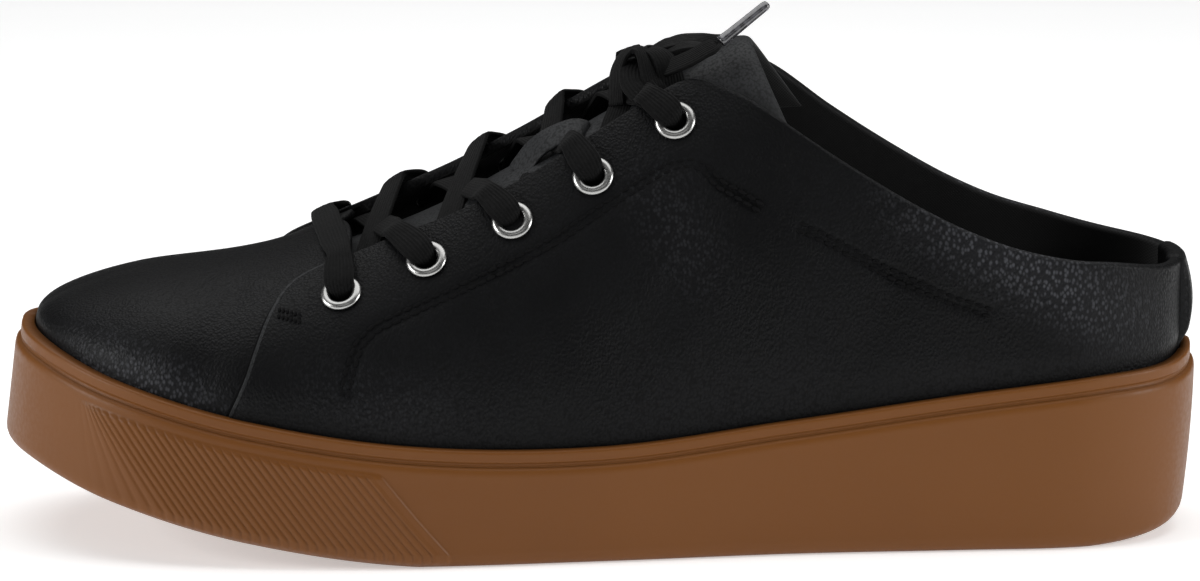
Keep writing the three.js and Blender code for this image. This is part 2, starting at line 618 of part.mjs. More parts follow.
// Place on the tongue: along runs from 0 at its root to 1 at its tip, across from -1 to 1
function tonguePlace(along, across) {
  const side = across < 0 ? LATERAL : MEDIAL;
  const tip = TONGUE_TIP - TONGUE_DROP * Math.abs(across) ** 2;
  const turn = mix(TONGUE_ROOT, tip, along);
  const edge = smooth(TONGUE_EDGES, sideName(side), turn);
  return { side, turn, rise: mix(1, edge, Math.abs(across)) };
}

// The tongue's upper face, from the last's surface
function tongueLevel(side, turn, rise) {
  const edge = smooth(TOPLINE, sideName(side), turn);
  const open = mix(SAG_EDGE, 1, ease((rise - edge) / (1 - edge)));
  return TONGUE_TOP - TONGUE_SAG * smooth(TONGUE_FALL, 'share', turn) * open;
}

function tongueGeometry() {
  const outer = [];
  const inner = [];
  for (let i = 0; i <= TONGUE_LONG; i += 1) {
    const column = [];
    const lining = [];
    for (let j = -TONGUE_WIDE / 2; j <= TONGUE_WIDE / 2; j += 1) {
      const across = 2 * j / TONGUE_WIDE;
      const { side, turn, rise } = tonguePlace(i / TONGUE_LONG, across);
      const thick = TONGUE_THICK * mix(1, TONGUE_EDGE, Math.abs(across) ** 4);
      const level = tongueLevel(side, turn, rise);
      column.push(offsetPoint(side, turn, rise, level));
      lining.push(offsetPoint(side, turn, rise, level - thick));
    }
    outer.push(column);
    inner.push(lining);
  }
  return shellGeometry(outer, inner);
}

// Flat band along a path of { at, facing, width }, with its narrow edges chamfered
function bandGeometry(path, thick) {
  const loops = path.map(({ at, facing, width }, i) => {
    const before = path[Math.max(i - 1, 0)].at;
    const after = path[Math.min(i + 1, path.length - 1)].at;
    const across = new THREE.Vector3().crossVectors(facing, after.clone().sub(before)).normalize();
    const corner = (x, z) => at.clone()
      .addScaledVector(across, x * width / 2)
      .addScaledVector(facing, z * thick / 2);
    return [
      corner(-BAND_EDGE, -1), corner(BAND_EDGE, -1), corner(1, 0),
      corner(BAND_EDGE, 1), corner(-BAND_EDGE, 1), corner(-1, 0),
    ];
  });
  const sides = loops[0].length;
  const faces = gridFaces(loops.length, sides + 1);
  const last = (loops.length - 1) * (sides + 1);
  for (let i = 1; i < sides - 1; i += 1) faces.push([0, i, i + 1], [last, last + i + 1, last + i]);
  return closedGeometry(loops.map((loop) => [...loop, loop[0]]).flat(), faces);
}

// Place over the throat: across is 0 on the crest, below 0 on the lateral side and over 0 on the medial
// one, and level is the height over the last's surface
function overThroat(across, turn, level) {
  const side = across < 0 ? LATERAL : MEDIAL;
  const rise = 1 - Math.abs(across);
  return { at: offsetPoint(side, turn, rise, level), facing: outward(side, turn, rise), width: LACE_WIDTH };
}

const acrossAt = (side, eyelet) => side * (1 - eyelet[sideName(side)]);

// Place across the throat of a quarter's edge, or further in by a share
const edgeAcross = (side, turn, inside = 0) => (1 - smooth(TOPLINE, sideName(side), turn) - inside) * side;

// Straight lace between two places over the throat, bowed in its middle, up to but without its far end
function straightLace(begin, end, bow) {
  const [first, last] = [begin, end].map((place) => overThroat(place.across, place.turn, place.level));
  const path = [];
  for (let i = 0; i < RUN_STEPS; i += 1) {
    const t = i / RUN_STEPS;
    const facing = first.facing.clone().lerp(last.facing, t).normalize();
    const at = first.at.clone().lerp(last.at, t).addScaledVector(facing, bow * Math.sin(Math.PI * t));
    path.push({ at, facing, width: LACE_WIDTH });
  }
  return path;
}

// Lace from a place at a quarter's edge, over the quarter and into an eyelet
function landedLace(edge, side, eyelet) {
  const target = acrossAt(side, eyelet);
  const path = [];
  for (let i = 0; i <= LANDING_STEPS; i += 1) {
    const last = i === LANDING_STEPS;
    const u = last ? 1 : LACE_BRINK * i / (LANDING_STEPS - 1);
    const level = LACE_HIGH - (last ? LACE_DIP : 0);
    const place = overThroat(mix(edge.across, target, u), mix(edge.turn, eyelet.turn, u), level);
    path.push({ ...place, width: LACE_WIDTH * (last ? LACE_TIP : 1) });
  }
  return path;
}

// Lace from under one quarter's edge over the throat and into the next eyelet on the other side
function laceRun(from, start, to) {
  const origin = acrossAt(from, start);
  const target = acrossAt(-from, to);
  const onLine = (across) => {
    const turn = mix(start.turn, to.turn, (across - origin) / (target - origin));
    return { across, turn };
  };
  const begin = onLine(edgeAcross(from, start.turn, LACE_CLEAR));
  const landing = { ...onLine(edgeAcross(-from, to.turn)), level: LACE_HIGH };
  begin.level = tongueLevel(from, begin.turn, 1 - Math.abs(begin.across)) + LACE_REST + LACE_THICK / 2;
  const bow = from === LATERAL ? -LACE_BOW : LACE_BOW;
  return [...straightLace(begin, landing, bow), ...landedLace(landing, -from, to)];
}

function crossingGeometry(i) {
  const [first, second] = [LATERAL, MEDIAL].map((side) => (
    toManifold(bandGeometry(laceRun(side, EYELETS[i], EYELETS[i + 1]), LACE_THICK))
  ));
  return fromManifold(first.add(second));
}

// Straight bar of lace over the two front eyelets
function barGeometry() {
  const { turn } = EYELETS[0];
  const [near, far] = [LATERAL, MEDIAL].map((side) => (
    { across: edgeAcross(side, turn), turn: turn + (side === MEDIAL ? BAR_LEAN : 0), level: LACE_HIGH }
  ));
  const start = landedLace(near, LATERAL, EYELETS[0]).reverse().slice(0, -1);
  const path = [...start, ...straightLace(near, far, BAR_BOW), ...landedLace(far, MEDIAL, EYELETS[0])];
  return bandGeometry(path, LACE_THICK);
}

// Loop of leather along the tongue, with the third crossing under it
function keeperGeometry() {
  const reach = KEEPER_LENGTH / (LENGTH * Math.PI);
  const side = KEEPER_ACROSS < 0 ? LATERAL : MEDIAL;
  const path = [];
  for (let i = 0; i <= KEEPER_STEPS; i += 1) {
    const along = 2 * i / KEEPER_STEPS - 1;
    const turn = KEEPER_TURN - along * reach;
    const seat = tongueLevel(side, turn, 1 - Math.abs(KEEPER_ACROSS)) + FIT + KEEPER_THICK / 2;
    const arch = KEEPER_RISE * ease((1 - Math.abs(along)) / KEEPER_RAMP);
    path.push({ ...overThroat(KEEPER_ACROSS, turn, seat + arch), width: KEEPER_WIDTH });
  }
  return bandGeometry(path, KEEPER_THICK);
}

function knotGeometry() {
  const { at, facing } = overThroat(KNOT_PLACE.across, KNOT_PLACE.turn, KNOT_LEVEL);
  const turned = new THREE.Quaternion().setFromUnitVectors(new THREE.Vector3(0, 0, 1), facing);
  const [first, second] = KNOT_LUMPS.map(({ half, shift }) => {
    const ball = new THREE.SphereGeometry(KNOT_SIZE, 12, 8).scale(...half);
    ball.translate(...shift.map((share) => share * KNOT_SIZE)).applyQuaternion(turned);
    return toManifold(ball.translate(...at.toArray()));
  });
  return fromManifold(first.add(second));
}

// Flat lace along a route, lying on its flat side
function laceGeometry(points, facings) {
  const curve = new THREE.CatmullRomCurve3(points);
  const steps = 2 * (points.length - 1);
  const path = [];
  for (let i = 0; i <= steps; i += 1) {
    const t = i / steps;
    const along = curve.getTangent(t);
    const near = facings[Math.round(t * (facings.length - 1))];
    const facing = near.clone().addScaledVector(along, -near.dot(along)).normalize();
    path.push({ at: curve.getPoint(t), facing, width: LACE_WIDTH });
  }
  return bandGeometry(path, LACE_THICK);
}

function loopGeometry() {
  const points = LOOP_ROUTE.map((point) => toPoint(...point));
  const curve = new THREE.CatmullRomCurve3(points);
  const sideways = new THREE.Vector3(0, 1, 0);
  const facings = points.map((_, i) => (
    curve.getTangent(i / (points.length - 1)).cross(sideways).normalize()
  ));
  return laceGeometry(points, facings);
}

function lateralEndGeometry() {
  const points = LATERAL_END_ROUTE.map((point) => toPoint(...point));
  return laceGeometry(points, points.map(() => new THREE.Vector3(...LATERAL_END_FACING)));
}

function medialEndGeometry() {
  const places = MEDIAL_END_ROUTE.map((place) => overThroat(...place));
  return laceGeometry(places.map(({ at }) => at), places.map(({ facing }) => facing));
}

// Sleeve on the lace's tip
function agletGeometry(start, end) {
  const along = end.clone().sub(start);
  const body = new THREE.CylinderGeometry(AGLET_RADIUS * 0.85, AGLET_RADIUS, AGLET_LENGTH, 8);
  body.translate(0, AGLET_LENGTH / 2 + FIT, 0);
  const turned = new THREE.Quaternion().setFromUnitVectors(new THREE.Vector3(0, 1, 0), along.normalize());
  return body.applyQuaternion(turned).translate(...start.toArray());
}

const group = new THREE.Group();

function addPart(name, geometry, look) {
  geometry.computeVertexNormals();
  const mesh = new THREE.Mesh(geometry, new THREE.MeshStandardMaterial(look));
  mesh.name = name;
  group.add(mesh);
}

const GUM = { color: 0x8a5a30, roughness: 0.5, metalness: 0 };
const BLACK_LEATHER = { color: 0x17181a, roughness: 0.45, metalness: 0 };
const LINING = { color: 0x101010, roughness: 0.8, metalness: 0 };
const GREY_LEATHER = { color: 0x2c2e30, roughness: 0.5, metalness: 0 };
const EYELET_METAL = { color: 0xb4b4b2, roughness: 0.25, metalness: 1 };
const LACE_COTTON = { color: 0x0e0e0f, roughness: 0.85, metalness: 0 };
const AGLET_PLASTIC = { color: 0x3a3a3c, roughness: 0.15, metalness: 0 };

addPart('cupsole', soleGeometry(), GUM);
addPart('insole', insoleGeometry(), LINING);

let upper = toManifold(upperGeometry());
for (const side of [LATERAL, MEDIAL]) {
  for (const eyelet of EYELETS) upper = upper.subtract(toManifold(eyeletHole(side, eyelet)));
}
addPart('upper', fromManifold(upper), BLACK_LEATHER);
addPart('tongue', tongueGeometry(), GREY_LEATHER);

for (const side of [LATERAL, MEDIAL]) {
  EYELETS.forEach((eyelet, i) => {
    addPart(`eyelet_${sideName(side)}_${i + 1}`, eyeletGeometry(side, eyelet), EYELET_METAL);
  });
}

addPart('lace_bar', barGeometry(), LACE_COTTON);
for (let i = 0; i < EYELETS.length - 1; i += 1) {
  addPart(`lace_cross_${i + 1}`, crossingGeometry(i), LACE_COTTON);
}
addPart('lace_keeper', keeperGeometry(), GREY_LEATHER);
addPart('lace_knot', knotGeometry(), LACE_COTTON);
addPart('lace_loop', loopGeometry(), LACE_COTTON);
addPart('lace_end_lateral', lateralEndGeometry(), LACE_COTTON);
addPart('lace_end_medial', medialEndGeometry(), LACE_COTTON);
const lateralAglet = LATERAL_AGLET.map((point) => toPoint(...point));
const medialAglet = MEDIAL_AGLET.map((place) => overThroat(...place).at);
addPart('aglet_lateral', agletGeometry(...lateralAglet), AGLET_PLASTIC);
addPart('aglet_medial', agletGeometry(...medialAglet), AGLET_PLASTIC);

export default group;
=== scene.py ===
# A lace-up sneaker mule for the left foot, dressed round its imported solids: smooth gum sole, grained black
# leather upper, padded tongue, eyelets and woven lace. The toe points to -X and the outer side to -Y.
import math

import bmesh
import bpy
import numpy as np
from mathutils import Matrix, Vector


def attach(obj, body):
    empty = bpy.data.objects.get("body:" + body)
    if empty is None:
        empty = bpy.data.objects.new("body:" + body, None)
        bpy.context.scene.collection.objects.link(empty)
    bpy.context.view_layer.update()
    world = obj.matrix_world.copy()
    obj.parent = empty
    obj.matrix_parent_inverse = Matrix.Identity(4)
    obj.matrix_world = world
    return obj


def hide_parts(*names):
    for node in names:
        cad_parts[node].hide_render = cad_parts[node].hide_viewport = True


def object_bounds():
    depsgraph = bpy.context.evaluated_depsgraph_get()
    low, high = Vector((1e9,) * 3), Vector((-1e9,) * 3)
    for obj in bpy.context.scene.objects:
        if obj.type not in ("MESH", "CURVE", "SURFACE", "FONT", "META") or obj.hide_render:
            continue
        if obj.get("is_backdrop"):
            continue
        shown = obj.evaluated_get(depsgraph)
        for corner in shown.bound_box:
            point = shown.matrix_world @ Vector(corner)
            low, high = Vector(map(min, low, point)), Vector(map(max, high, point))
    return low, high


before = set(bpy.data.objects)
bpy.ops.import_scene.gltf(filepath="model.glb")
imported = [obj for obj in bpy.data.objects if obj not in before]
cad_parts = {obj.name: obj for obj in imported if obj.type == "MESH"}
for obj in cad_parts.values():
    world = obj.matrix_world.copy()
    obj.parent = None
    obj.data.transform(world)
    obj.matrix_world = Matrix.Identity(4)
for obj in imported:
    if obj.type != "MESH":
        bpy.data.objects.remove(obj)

CAD_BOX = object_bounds()
MM = 0.001
LATERAL, MEDIAL = -1.0, 1.0

# Sizes of the last and the sole, in millimetres
LENGTH = 274.0
BALL_WIDTH = 98.0
HEEL_HEIGHT = 43.0
INSTEP_RISE = 86.0
TOE_LEAN = 3.5
HEEL_TUCK = 3.0
RIM_HEIGHT = 2.6
RIM_INSET = 1.0
RIM_ROUND = 0.7
GROOVE_DEPTH = 0.42
GROOVE_HEIGHT = 1.1
SHOULDER = 2.2
FOOT_ROUND = 3.2
CUP_DEPTH = 12.0
PANEL_BACK = LENGTH - 94.0
RIB_END = LENGTH - 15.0
PANEL_FADE = 17.4
PANEL_STEP = 0.48
PANEL_FOOT = 0.6
PANEL_HEAD = 2.6
RIB_DEPTH = 0.34
RIB_PITCH = 2.12
RIB_SLANT = 15.8
PLAIN_BAND = 2.4

# Upper, tongue and lace
UPPER_INSET = 4.2
LEATHER = 1.8
QUARTER_STEP = 1.1
STRIP_STEP = 0.8
HEEL_SWELL = 1.7
STRIP_TURN = 0.045
SEAT_SHARE = 0.4
SEAT_REACH = 1 / 4.5  # share of a column over which a step grows to its full height
FIT = 0.3
SKIRT_FOOT = CUP_DEPTH - FIT
SKIRT_HEAD = 0.8
INSOLE_THICK = 4.0
INSOLE_GAP = 0.6
TONGUE_THICK = 3.6
TONGUE_TOP = -LEATHER - 0.7
TONGUE_SAG = 5.2
SAG_EDGE = 0.25
MEDIAL_FALL = 0.75
TONGUE_ROOT = 0.7
TONGUE_TIP = 0.4215
TONGUE_DROP = 0.034
TONGUE_ROUND = 0.045  # share of the tongue's length that is rounded at the tip
BINDING = 0.3
FLANGE_THICK = 0.8
LACE_WIDTH = 6.0
LACE_THICK = 1.3
KEEPER_WIDTH = 7.4
KEEPER_THICK = 1.2
AGLET_RADIUS = 1.4
AGLET_LENGTH = 14.0


def table(names, *rows):
    """Columns of a table by their names."""
    return {name: np.array(column, float) for name, column in zip(names.split(), zip(*rows))}


PLAN = table(
    "turn middle lateral medial",
    (0.0, 0.0, 0.0, 0.0), (0.1, 0.0, 0.219, 0.214), (0.2, 0.0, 0.337, 0.332), (0.3, 0.0, 0.363, 0.347),
    (0.4, 0.0, 0.388, 0.352), (0.5, 0.003, 0.452, 0.388), (0.6, 0.012, 0.507, 0.449),
    (0.7, 0.027, 0.506, 0.48), (0.8, 0.041, 0.423, 0.413), (0.9, 0.051, 0.24, 0.245), (1.0, 0.056, 0.0, 0.0),
)
SIDE = table(
    "turn under rim",
    (0.0, 0.105, 0.995), (0.1, 0.042, 0.944), (0.2, 0.0, 0.912), (0.3, 0.0, 0.833), (0.4, 0.0, 0.716),
    (0.5, 0.0, 0.612), (0.6, 0.0, 0.637), (0.7, 0.121, 0.767), (0.8, 0.291, 0.937), (0.9, 0.437, 1.077),
    (1.0, 0.488, 1.13),
)
CREST = table(
    "turn across rise side top",
    (0.0, 0.0, 0.712, 0.5, 1.0), (0.1, 0.0, 0.76, 0.5, 1.0), (0.2, 0.0, 0.823, 0.55, 1.0),
    (0.3, 0.005, 0.909, 0.65, 1.0), (0.4, 0.01, 1.002, 0.85, 1.0), (0.45, 0.015, 0.986, 0.95, 1.0),
    (0.5, 0.026, 0.909, 1.0, 1.0), (0.55, 0.036, 0.777, 1.0, 1.0), (0.6, 0.041, 0.63, 1.0, 1.0),
    (0.65, 0.046, 0.486, 1.0, 1.0), (0.7, 0.051, 0.367, 0.95, 0.95), (0.8, 0.051, 0.228, 0.9, 0.9),
    (0.9, 0.053, 0.092, 0.85, 0.9), (1.0, 0.056, 0.0, 0.85, 0.9),
)
TOPLINE = table(
    "turn lateral medial",
    (0.0, 0.206, 0.206), (0.1, 0.215, 0.22), (0.17, 0.229, 0.232), (0.22, 0.241, 0.259),
    (0.27, 0.276, 0.305), (0.32, 0.35, 0.392), (0.37, 0.459, 0.518), (0.405, 0.563, 0.65),
    (0.43, 0.655, 0.745), (0.455, 0.736, 0.815), (0.48, 0.712, 0.822), (0.51, 0.672, 0.78),
    (0.54, 0.642, 0.75), (0.58, 0.63, 0.742), (0.61, 0.643, 0.768), (0.642, 0.641, 0.8),
)
PEAK_TURN = 0.45
THROAT_TURN = 0.642
THROAT_ROUND = 0.02
FRONT_EDGE = table(
    "row turn rise",
    (0.0, 0.714, 0.0), (0.2, 0.704, 0.24), (0.4, 0.697, 0.485), (0.55, 0.691, 0.69), (0.7, 0.683, 0.865),
    (0.8, 0.675, 0.945), (0.9, 0.661, 0.988), (1.0, 0.642, 1.0),
)
FRONT_TURN = 0.714
THROAT_FOOT = 0.76
EYELETS = table(
    "turn lateral medial",
    (0.645, 0.483, 0.66), (0.596, 0.504, 0.625), (0.549, 0.519, 0.61), (0.506, 0.548, 0.655),
    (0.462, 0.616, 0.7),
)
TONGUE_EDGES = table(
    "turn lateral medial", (0.4, 0.44, 0.54), (0.5, 0.42, 0.5), (0.6, 0.44, 0.54), (0.7, 0.56, 0.66)
)
TONGUE_FALL = table(
    "turn share", (0.4, 0.0), (0.43, 0.0), (0.46, 0.5), (0.5, 1.0), (0.6, 1.0), (0.65, 0.6), (0.7, 0.3)
)

# Free stretches of the lace: distance from the heel, y and height, in millimetres
LOOP_ROUTE = [
    (125.5, 0.0, 109.4), (122.7, 1.5, 110.6), (119.5, 3.5, 111.3), (116.3, 5.5, 111.5), (112.8, 7.0, 111.0),
    (109.8, 8.0, 110.2), (107.2, 8.5, 109.4), (105.8, 7.3, 109.0), (107.3, 5.3, 109.0), (110.1, 3.2, 109.8),
    (113.1, 1.5, 110.7), (116.3, 0.0, 111.0), (119.3, -1.2, 110.5), (121.9, -2.0, 109.6),
]
LATERAL_END_ROUTE = [
    (129.6, -2.4, 105.2), (127.4, -3.6, 105.4), (124.8, -5.6, 106.0), (121.9, -8.4, 107.2),
    (118.8, -11.2, 108.9), (116.1, -13.2, 110.5), (113.3, -13.6, 112.2), (111.1, -13.6, 113.1),
]
LATERAL_END_FACING = (-0.55, -0.38, 0.74)
LATERAL_AGLET = [(110.4, -13.2, 113.5), (99.1, -10.6, 122.1)]
# Over the medial quarter: across, turn and level over the last
MEDIAL_END_ROUTE = [
    (0.125, 0.484, 3.2), (0.18, 0.484, 3.1), (0.24, 0.484, 2.9), (0.31, 0.485, 2.7), (0.38, 0.487, 2.4),
    (0.45, 0.489, 2.3), (0.52, 0.491, 2.3), (0.59, 0.493, 2.3),
]
MEDIAL_AGLET = [(0.602, 0.4935, 2.9), (0.79, 0.499, 3.1)]

# The photograph's frame and the camera that fits it
PHOTO_WIDTH = 1200
FOCAL_PIXELS = 6531
SENSOR_MM = 36.0
CAMERA_PLACE = (-0.05147, -1.47398, 0.32765)
CAMERA_AIM = (0.0, 0.0, 0.0543)


def smooth(rows, column, at, key="turn"):
    """Smooth curve through a table's column."""
    keys, values = rows[key], rows[column]
    x = np.clip(at, keys[0], keys[-1])
    i = np.clip(np.searchsorted(keys, x, side="right") - 1, 0, len(keys) - 2)
    slope = np.empty_like(values)
    slope[1:-1] = (values[2:] - values[:-2]) / (keys[2:] - keys[:-2])
    slope[0] = (values[1] - values[0]) / (keys[1] - keys[0])
    slope[-1] = (values[-1] - values[-2]) / (keys[-1] - keys[-2])
    span = keys[i + 1] - keys[i]
    t = (x - keys[i]) / span
    return (
        values[i] * (2 * t**3 - 3 * t**2 + 1) + slope[i] * span * (t**3 - 2 * t**2 + t)
        + values[i + 1] * (3 * t**2 - 2 * t**3) + slope[i + 1] * span * (t**3 - t**2)
    )


def ease(t):
    t = np.clip(t, 0, 1)
    return t * t * (3 - 2 * t)


def mix(a, b, t):
    return a + (b - a) * t


def unit(v):
    return v / np.maximum(np.linalg.norm(v, axis=-1, keepdims=True), 1e-12)


def sided(rows, side, at):
    """A table's lateral or medial column, by side."""
    return np.where(np.asarray(side) < 0, smooth(rows, "lateral", at), smooth(rows, "medial", at))


def station(turn, start=0.0, end=LENGTH):
    """Distance from the heel at a turn."""
    return start + (end - start) * (1 - np.cos(np.pi * turn)) / 2


def turn_at(distance):
    return np.arccos(np.clip(1 - 2 * distance / LENGTH, -1, 1)) / np.pi


def underside(turn):
    return HEEL_HEIGHT * np.maximum(0, smooth(SIDE, "under", turn))


def rim(turn):
    return HEEL_HEIGHT * smooth(SIDE, "rim", turn)


def toe_lean(turn):
    return TOE_LEAN * np.maximum(0, (turn - 0.7) / 0.3) ** 1.5


def heel_tuck(turn):
    return HEEL_TUCK * np.maximum(0, (0.25 - turn) / 0.25)


def outline(side, turn, inset):
    """The sole's outline moved inwards by an inset: distance from the heel, and y."""
    side, turn, inset = np.broadcast_arrays(np.asarray(side, float), turn, inset)

    def raw(at):
        folded = np.where(at < 0, -at, np.where(at > 1, 2 - at, at))
        hand = np.where(folded == at, side, -side)
        half = sided(PLAN, hand, folded) * BALL_WIDTH
        return station(folded), smooth(PLAN, "middle", folded) * BALL_WIDTH + hand * half

    s, y = raw(turn)
    (s0, y0), (s1, y1) = raw(turn - 0.001), raw(turn + 0.001)
    size = np.hypot(s1 - s0, y1 - y0)
    return s + (y1 - y0) * side * inset / size, y - (s1 - s0) * side * inset / size


def to_point(s, y, z):
    s, y, z = np.broadcast_arrays(s, y, z)
    return np.stack([LENGTH / 2 - s, y, z], -1)


def last_point(side, turn, rise):
    """Surface of the last over the rim."""
    side, turn, rise = np.broadcast_arrays(np.asarray(side, float), turn, rise)
    foot_s, foot_y = outline(side, turn, UPPER_INSET + toe_lean(turn))
    crest_s = station(turn, UPPER_INSET, LENGTH - TOE_LEAN - UPPER_INSET)
    crest_y = smooth(CREST, "across", turn) * BALL_WIDTH
    crest_z = rim(turn) + smooth(CREST, "rise", turn) * INSTEP_RISE
    angle = rise * np.pi / 2
    inward = 1 - np.maximum(np.cos(angle), 0) ** smooth(CREST, "side", turn)
    upward = np.maximum(np.sin(angle), 0) ** smooth(CREST, "top", turn)
    return to_point(
        mix(foot_s, crest_s, inward), mix(foot_y, crest_y, inward), mix(rim(turn), crest_z, upward)
    )


def last_normal(side, turn, rise):
    step = 0.004
    side, turn, rise = np.broadcast_arrays(np.asarray(side, float), turn, rise)
    at = np.minimum(rise, 1 - step)
    along = last_point(side, turn + step, at) - last_point(side, turn - step, at)
    up = last_point(side, turn, at + step) - last_point(side, turn, np.maximum(at - step, 0))
    return unit(np.cross(along, up) * side[..., None])


def outward(side, turn, rise):
    """Outward normal of the last, shared by both sides where they meet."""
    side, turn, rise = np.broadcast_arrays(np.asarray(side, float), turn, rise)
    inside = np.clip(turn, 0.02, 0.98)
    own = last_normal(side, inside, rise)
    shared = unit(own + last_normal(-side, inside, rise))
    ends = ease((0.02 - np.minimum(turn, 1 - turn)) / 0.02)
    crest = ease((rise - 0.96) / 0.04)
    weight = np.maximum(ends, crest)[..., None]
    return unit(mix(own, shared, weight))


def surface(side, turn, rise, level):
    """Point over the last's surface by a level."""
    level = np.asarray(level, float)
    return last_point(side, turn, rise) + outward(side, turn, rise) * level[..., None]


def column_at(side, turn, row):
    """Where a column of the upper passes at a row: its turn and its rise."""
    side, turn, row = np.broadcast_arrays(np.asarray(side, float), turn, row)
    edge_turn = smooth(FRONT_EDGE, "turn", row, "row")
    edge_rise = smooth(FRONT_EDGE, "rise", row, "row")
    lean = (FRONT_TURN - edge_turn) / (FRONT_TURN - THROAT_TURN)
    corner = sided(TOPLINE, side, THROAT_TURN)
    share = np.maximum(0, (turn - PEAK_TURN) / (FRONT_TURN - PEAK_TURN))
    top = turn - (FRONT_TURN - THROAT_TURN) * share
    edge = sided(TOPLINE, side, top)
    quarter = mix(turn, top, mix(row, lean, share**2)), edge * mix(row, edge_rise, share**2)
    bend = np.clip((turn - FRONT_TURN) / (THROAT_FOOT - FRONT_TURN), 0, 1) * np.pi / 2
    bow = THROAT_TURN + THROAT_ROUND * (1 - np.cos(bend))
    beyond = np.maximum(0, (turn - THROAT_FOOT) / (1 - THROAT_FOOT))
    reach = mix(corner, 1, np.sin(bend))
    ahead = np.clip(1 - (turn - FRONT_TURN) / (1 - FRONT_TURN), 0, 1) ** 2
    vamp = mix(turn, mix(bow, 1, beyond), mix(row, lean, ahead)), reach * mix(row, edge_rise, ahead)
    on_quarter = turn <= FRONT_TURN
    return np.where(on_quarter, quarter[0], vamp[0]), np.where(on_quarter, quarter[1], vamp[1])


def grid_faces(columns, rows, around=False):
    """Quads of a grid numbered column by column."""
    c = np.arange(columns if around else columns - 1)[:, None]
    r = np.arange(rows - 1)[None, :]
    a = c * rows + r
    b = (c + 1) % columns * rows + r
    return np.stack([a, b, b + 1, a + 1], -1).reshape(-1, 4)


def add_object(name, data):
    thing = bpy.data.objects.new(name, data)
    bpy.context.scene.collection.objects.link(thing)
    return thing


def add_mesh(name, points, faces, materials, uv=None, picks=None):
    """Smooth mesh piece from points in millimetres. uv is given for each point."""
    mesh = bpy.data.meshes.new(name)
    whole = [[int(i) for i in face] for face in faces]
    mesh.from_pydata((np.asarray(points).reshape(-1, 3) * MM).tolist(), [], whole)
    for material in materials:
        mesh.materials.append(material)
    if picks is not None:
        mesh.polygons.foreach_set("material_index", np.asarray(picks, np.int32))
    corners = np.empty(len(mesh.loops), np.int32)
    mesh.loops.foreach_get("vertex_index", corners)
    if uv is not None:
        layer = mesh.uv_layers.new(name="along")
        layer.data.foreach_set("uv", np.asarray(uv, float).reshape(-1, 2)[corners].ravel())
    work = bmesh.new()
    work.from_mesh(mesh)
    bmesh.ops.remove_doubles(work, verts=work.verts, dist=2e-6)
    bmesh.ops.dissolve_degenerate(work, edges=work.edges, dist=1e-7)
    bmesh.ops.recalc_face_normals(work, faces=work.faces)
    work.to_mesh(mesh)
    work.free()
    mesh.polygons.foreach_set("use_smooth", [True] * len(mesh.polygons))
    return add_object(name, mesh)


def modified_mesh(thing):
    """Give an object the mesh that its modifiers make."""
    made = bpy.data.meshes.new_from_object(thing.evaluated_get(bpy.context.evaluated_depsgraph_get()))
    thing.modifiers.clear()
    thing.data = made
    return made


def joined(groups):
    """Several (points, faces, uv) groups as one. The uv may be left out of all of them."""
    points, faces, uvs, start = [], [], [], 0
    for group_points, group_faces, *group_uv in groups:
        flat = np.asarray(group_points).reshape(-1, 3)
        points.append(flat)
        faces += [[int(i) + start for i in face] for face in group_faces]
        uvs += [np.asarray(uv, float).reshape(-1, 2) for uv in group_uv]
        start += len(flat)
    return np.concatenate(points), faces, np.concatenate(uvs) if uvs else None


def new_material(name, **settings):
    material = bpy.data.materials.new(name)
    material.use_nodes = True
    shader = material.node_tree.nodes["Principled BSDF"]
    for socket, value in settings.items():
        shader.inputs[socket.replace("_", " ")].default_value = value
    return material, material.node_tree, shader


def add_node(tree, kind, **inputs):
    node = tree.nodes.new(kind)
    for key, value in inputs.items():
        if hasattr(value, "is_output"):
            tree.links.new(value, node.inputs[key.replace("_", " ")])
        else:
            node.inputs[key.replace("_", " ")].default_value = value
    return node


def math_node(tree, operation, *values):
    node = tree.nodes.new("ShaderNodeMath")
    node.operation = operation
    for socket, value in zip(node.inputs, values):
        if hasattr(value, "is_output"):
            tree.links.new(value, socket)
        else:
            socket.default_value = value
    return node.outputs[0]


def ramp_node(tree, value, low, high, to_low=0.0, to_high=1.0):
    node = tree.nodes.new("ShaderNodeMapRange")
    node.interpolation_type = "SMOOTHSTEP"
    tree.links.new(value, node.inputs["Value"])
    for key, number in (("From Min", low), ("From Max", high), ("To Min", to_low), ("To Max", to_high)):
        node.inputs[key].default_value = number
    return node.outputs[0]


def blend_colour(tree, factor, first, second):
    node = tree.nodes.new("ShaderNodeMix")
    node.data_type = "RGBA"
    tree.links.new(factor, node.inputs["Factor"])
    for socket, value in ((node.inputs["A"], first), (node.inputs["B"], second)):
        if hasattr(value, "is_output"):
            tree.links.new(value, socket)
        else:
            socket.default_value = value
    colour = [output for output in node.outputs if output.type == "RGBA"]
    return colour[0]


def object_coordinates(tree, stretch=(1.0, 1.0, 1.0)):
    place = tree.nodes.new("ShaderNodeTexCoord")
    mapping = add_node(tree, "ShaderNodeMapping", Scale=stretch)
    tree.links.new(place.outputs["Object"], mapping.inputs["Vector"])
    return mapping.outputs["Vector"]


def new_group(name, inputs, outputs):
    """Shader group with its own named sockets."""
    tree = bpy.data.node_groups.new(name, "ShaderNodeTree")
    for label, kind, value in inputs:
        socket = tree.interface.new_socket(name=label, in_out="INPUT", socket_type=kind)
        if value is not None:
            socket.default_value = value
    for label, kind in outputs:
        tree.interface.new_socket(name=label, in_out="OUTPUT", socket_type=kind)
    return tree, tree.nodes.new("NodeGroupInput").outputs, tree.nodes.new("NodeGroupOutput").inputs


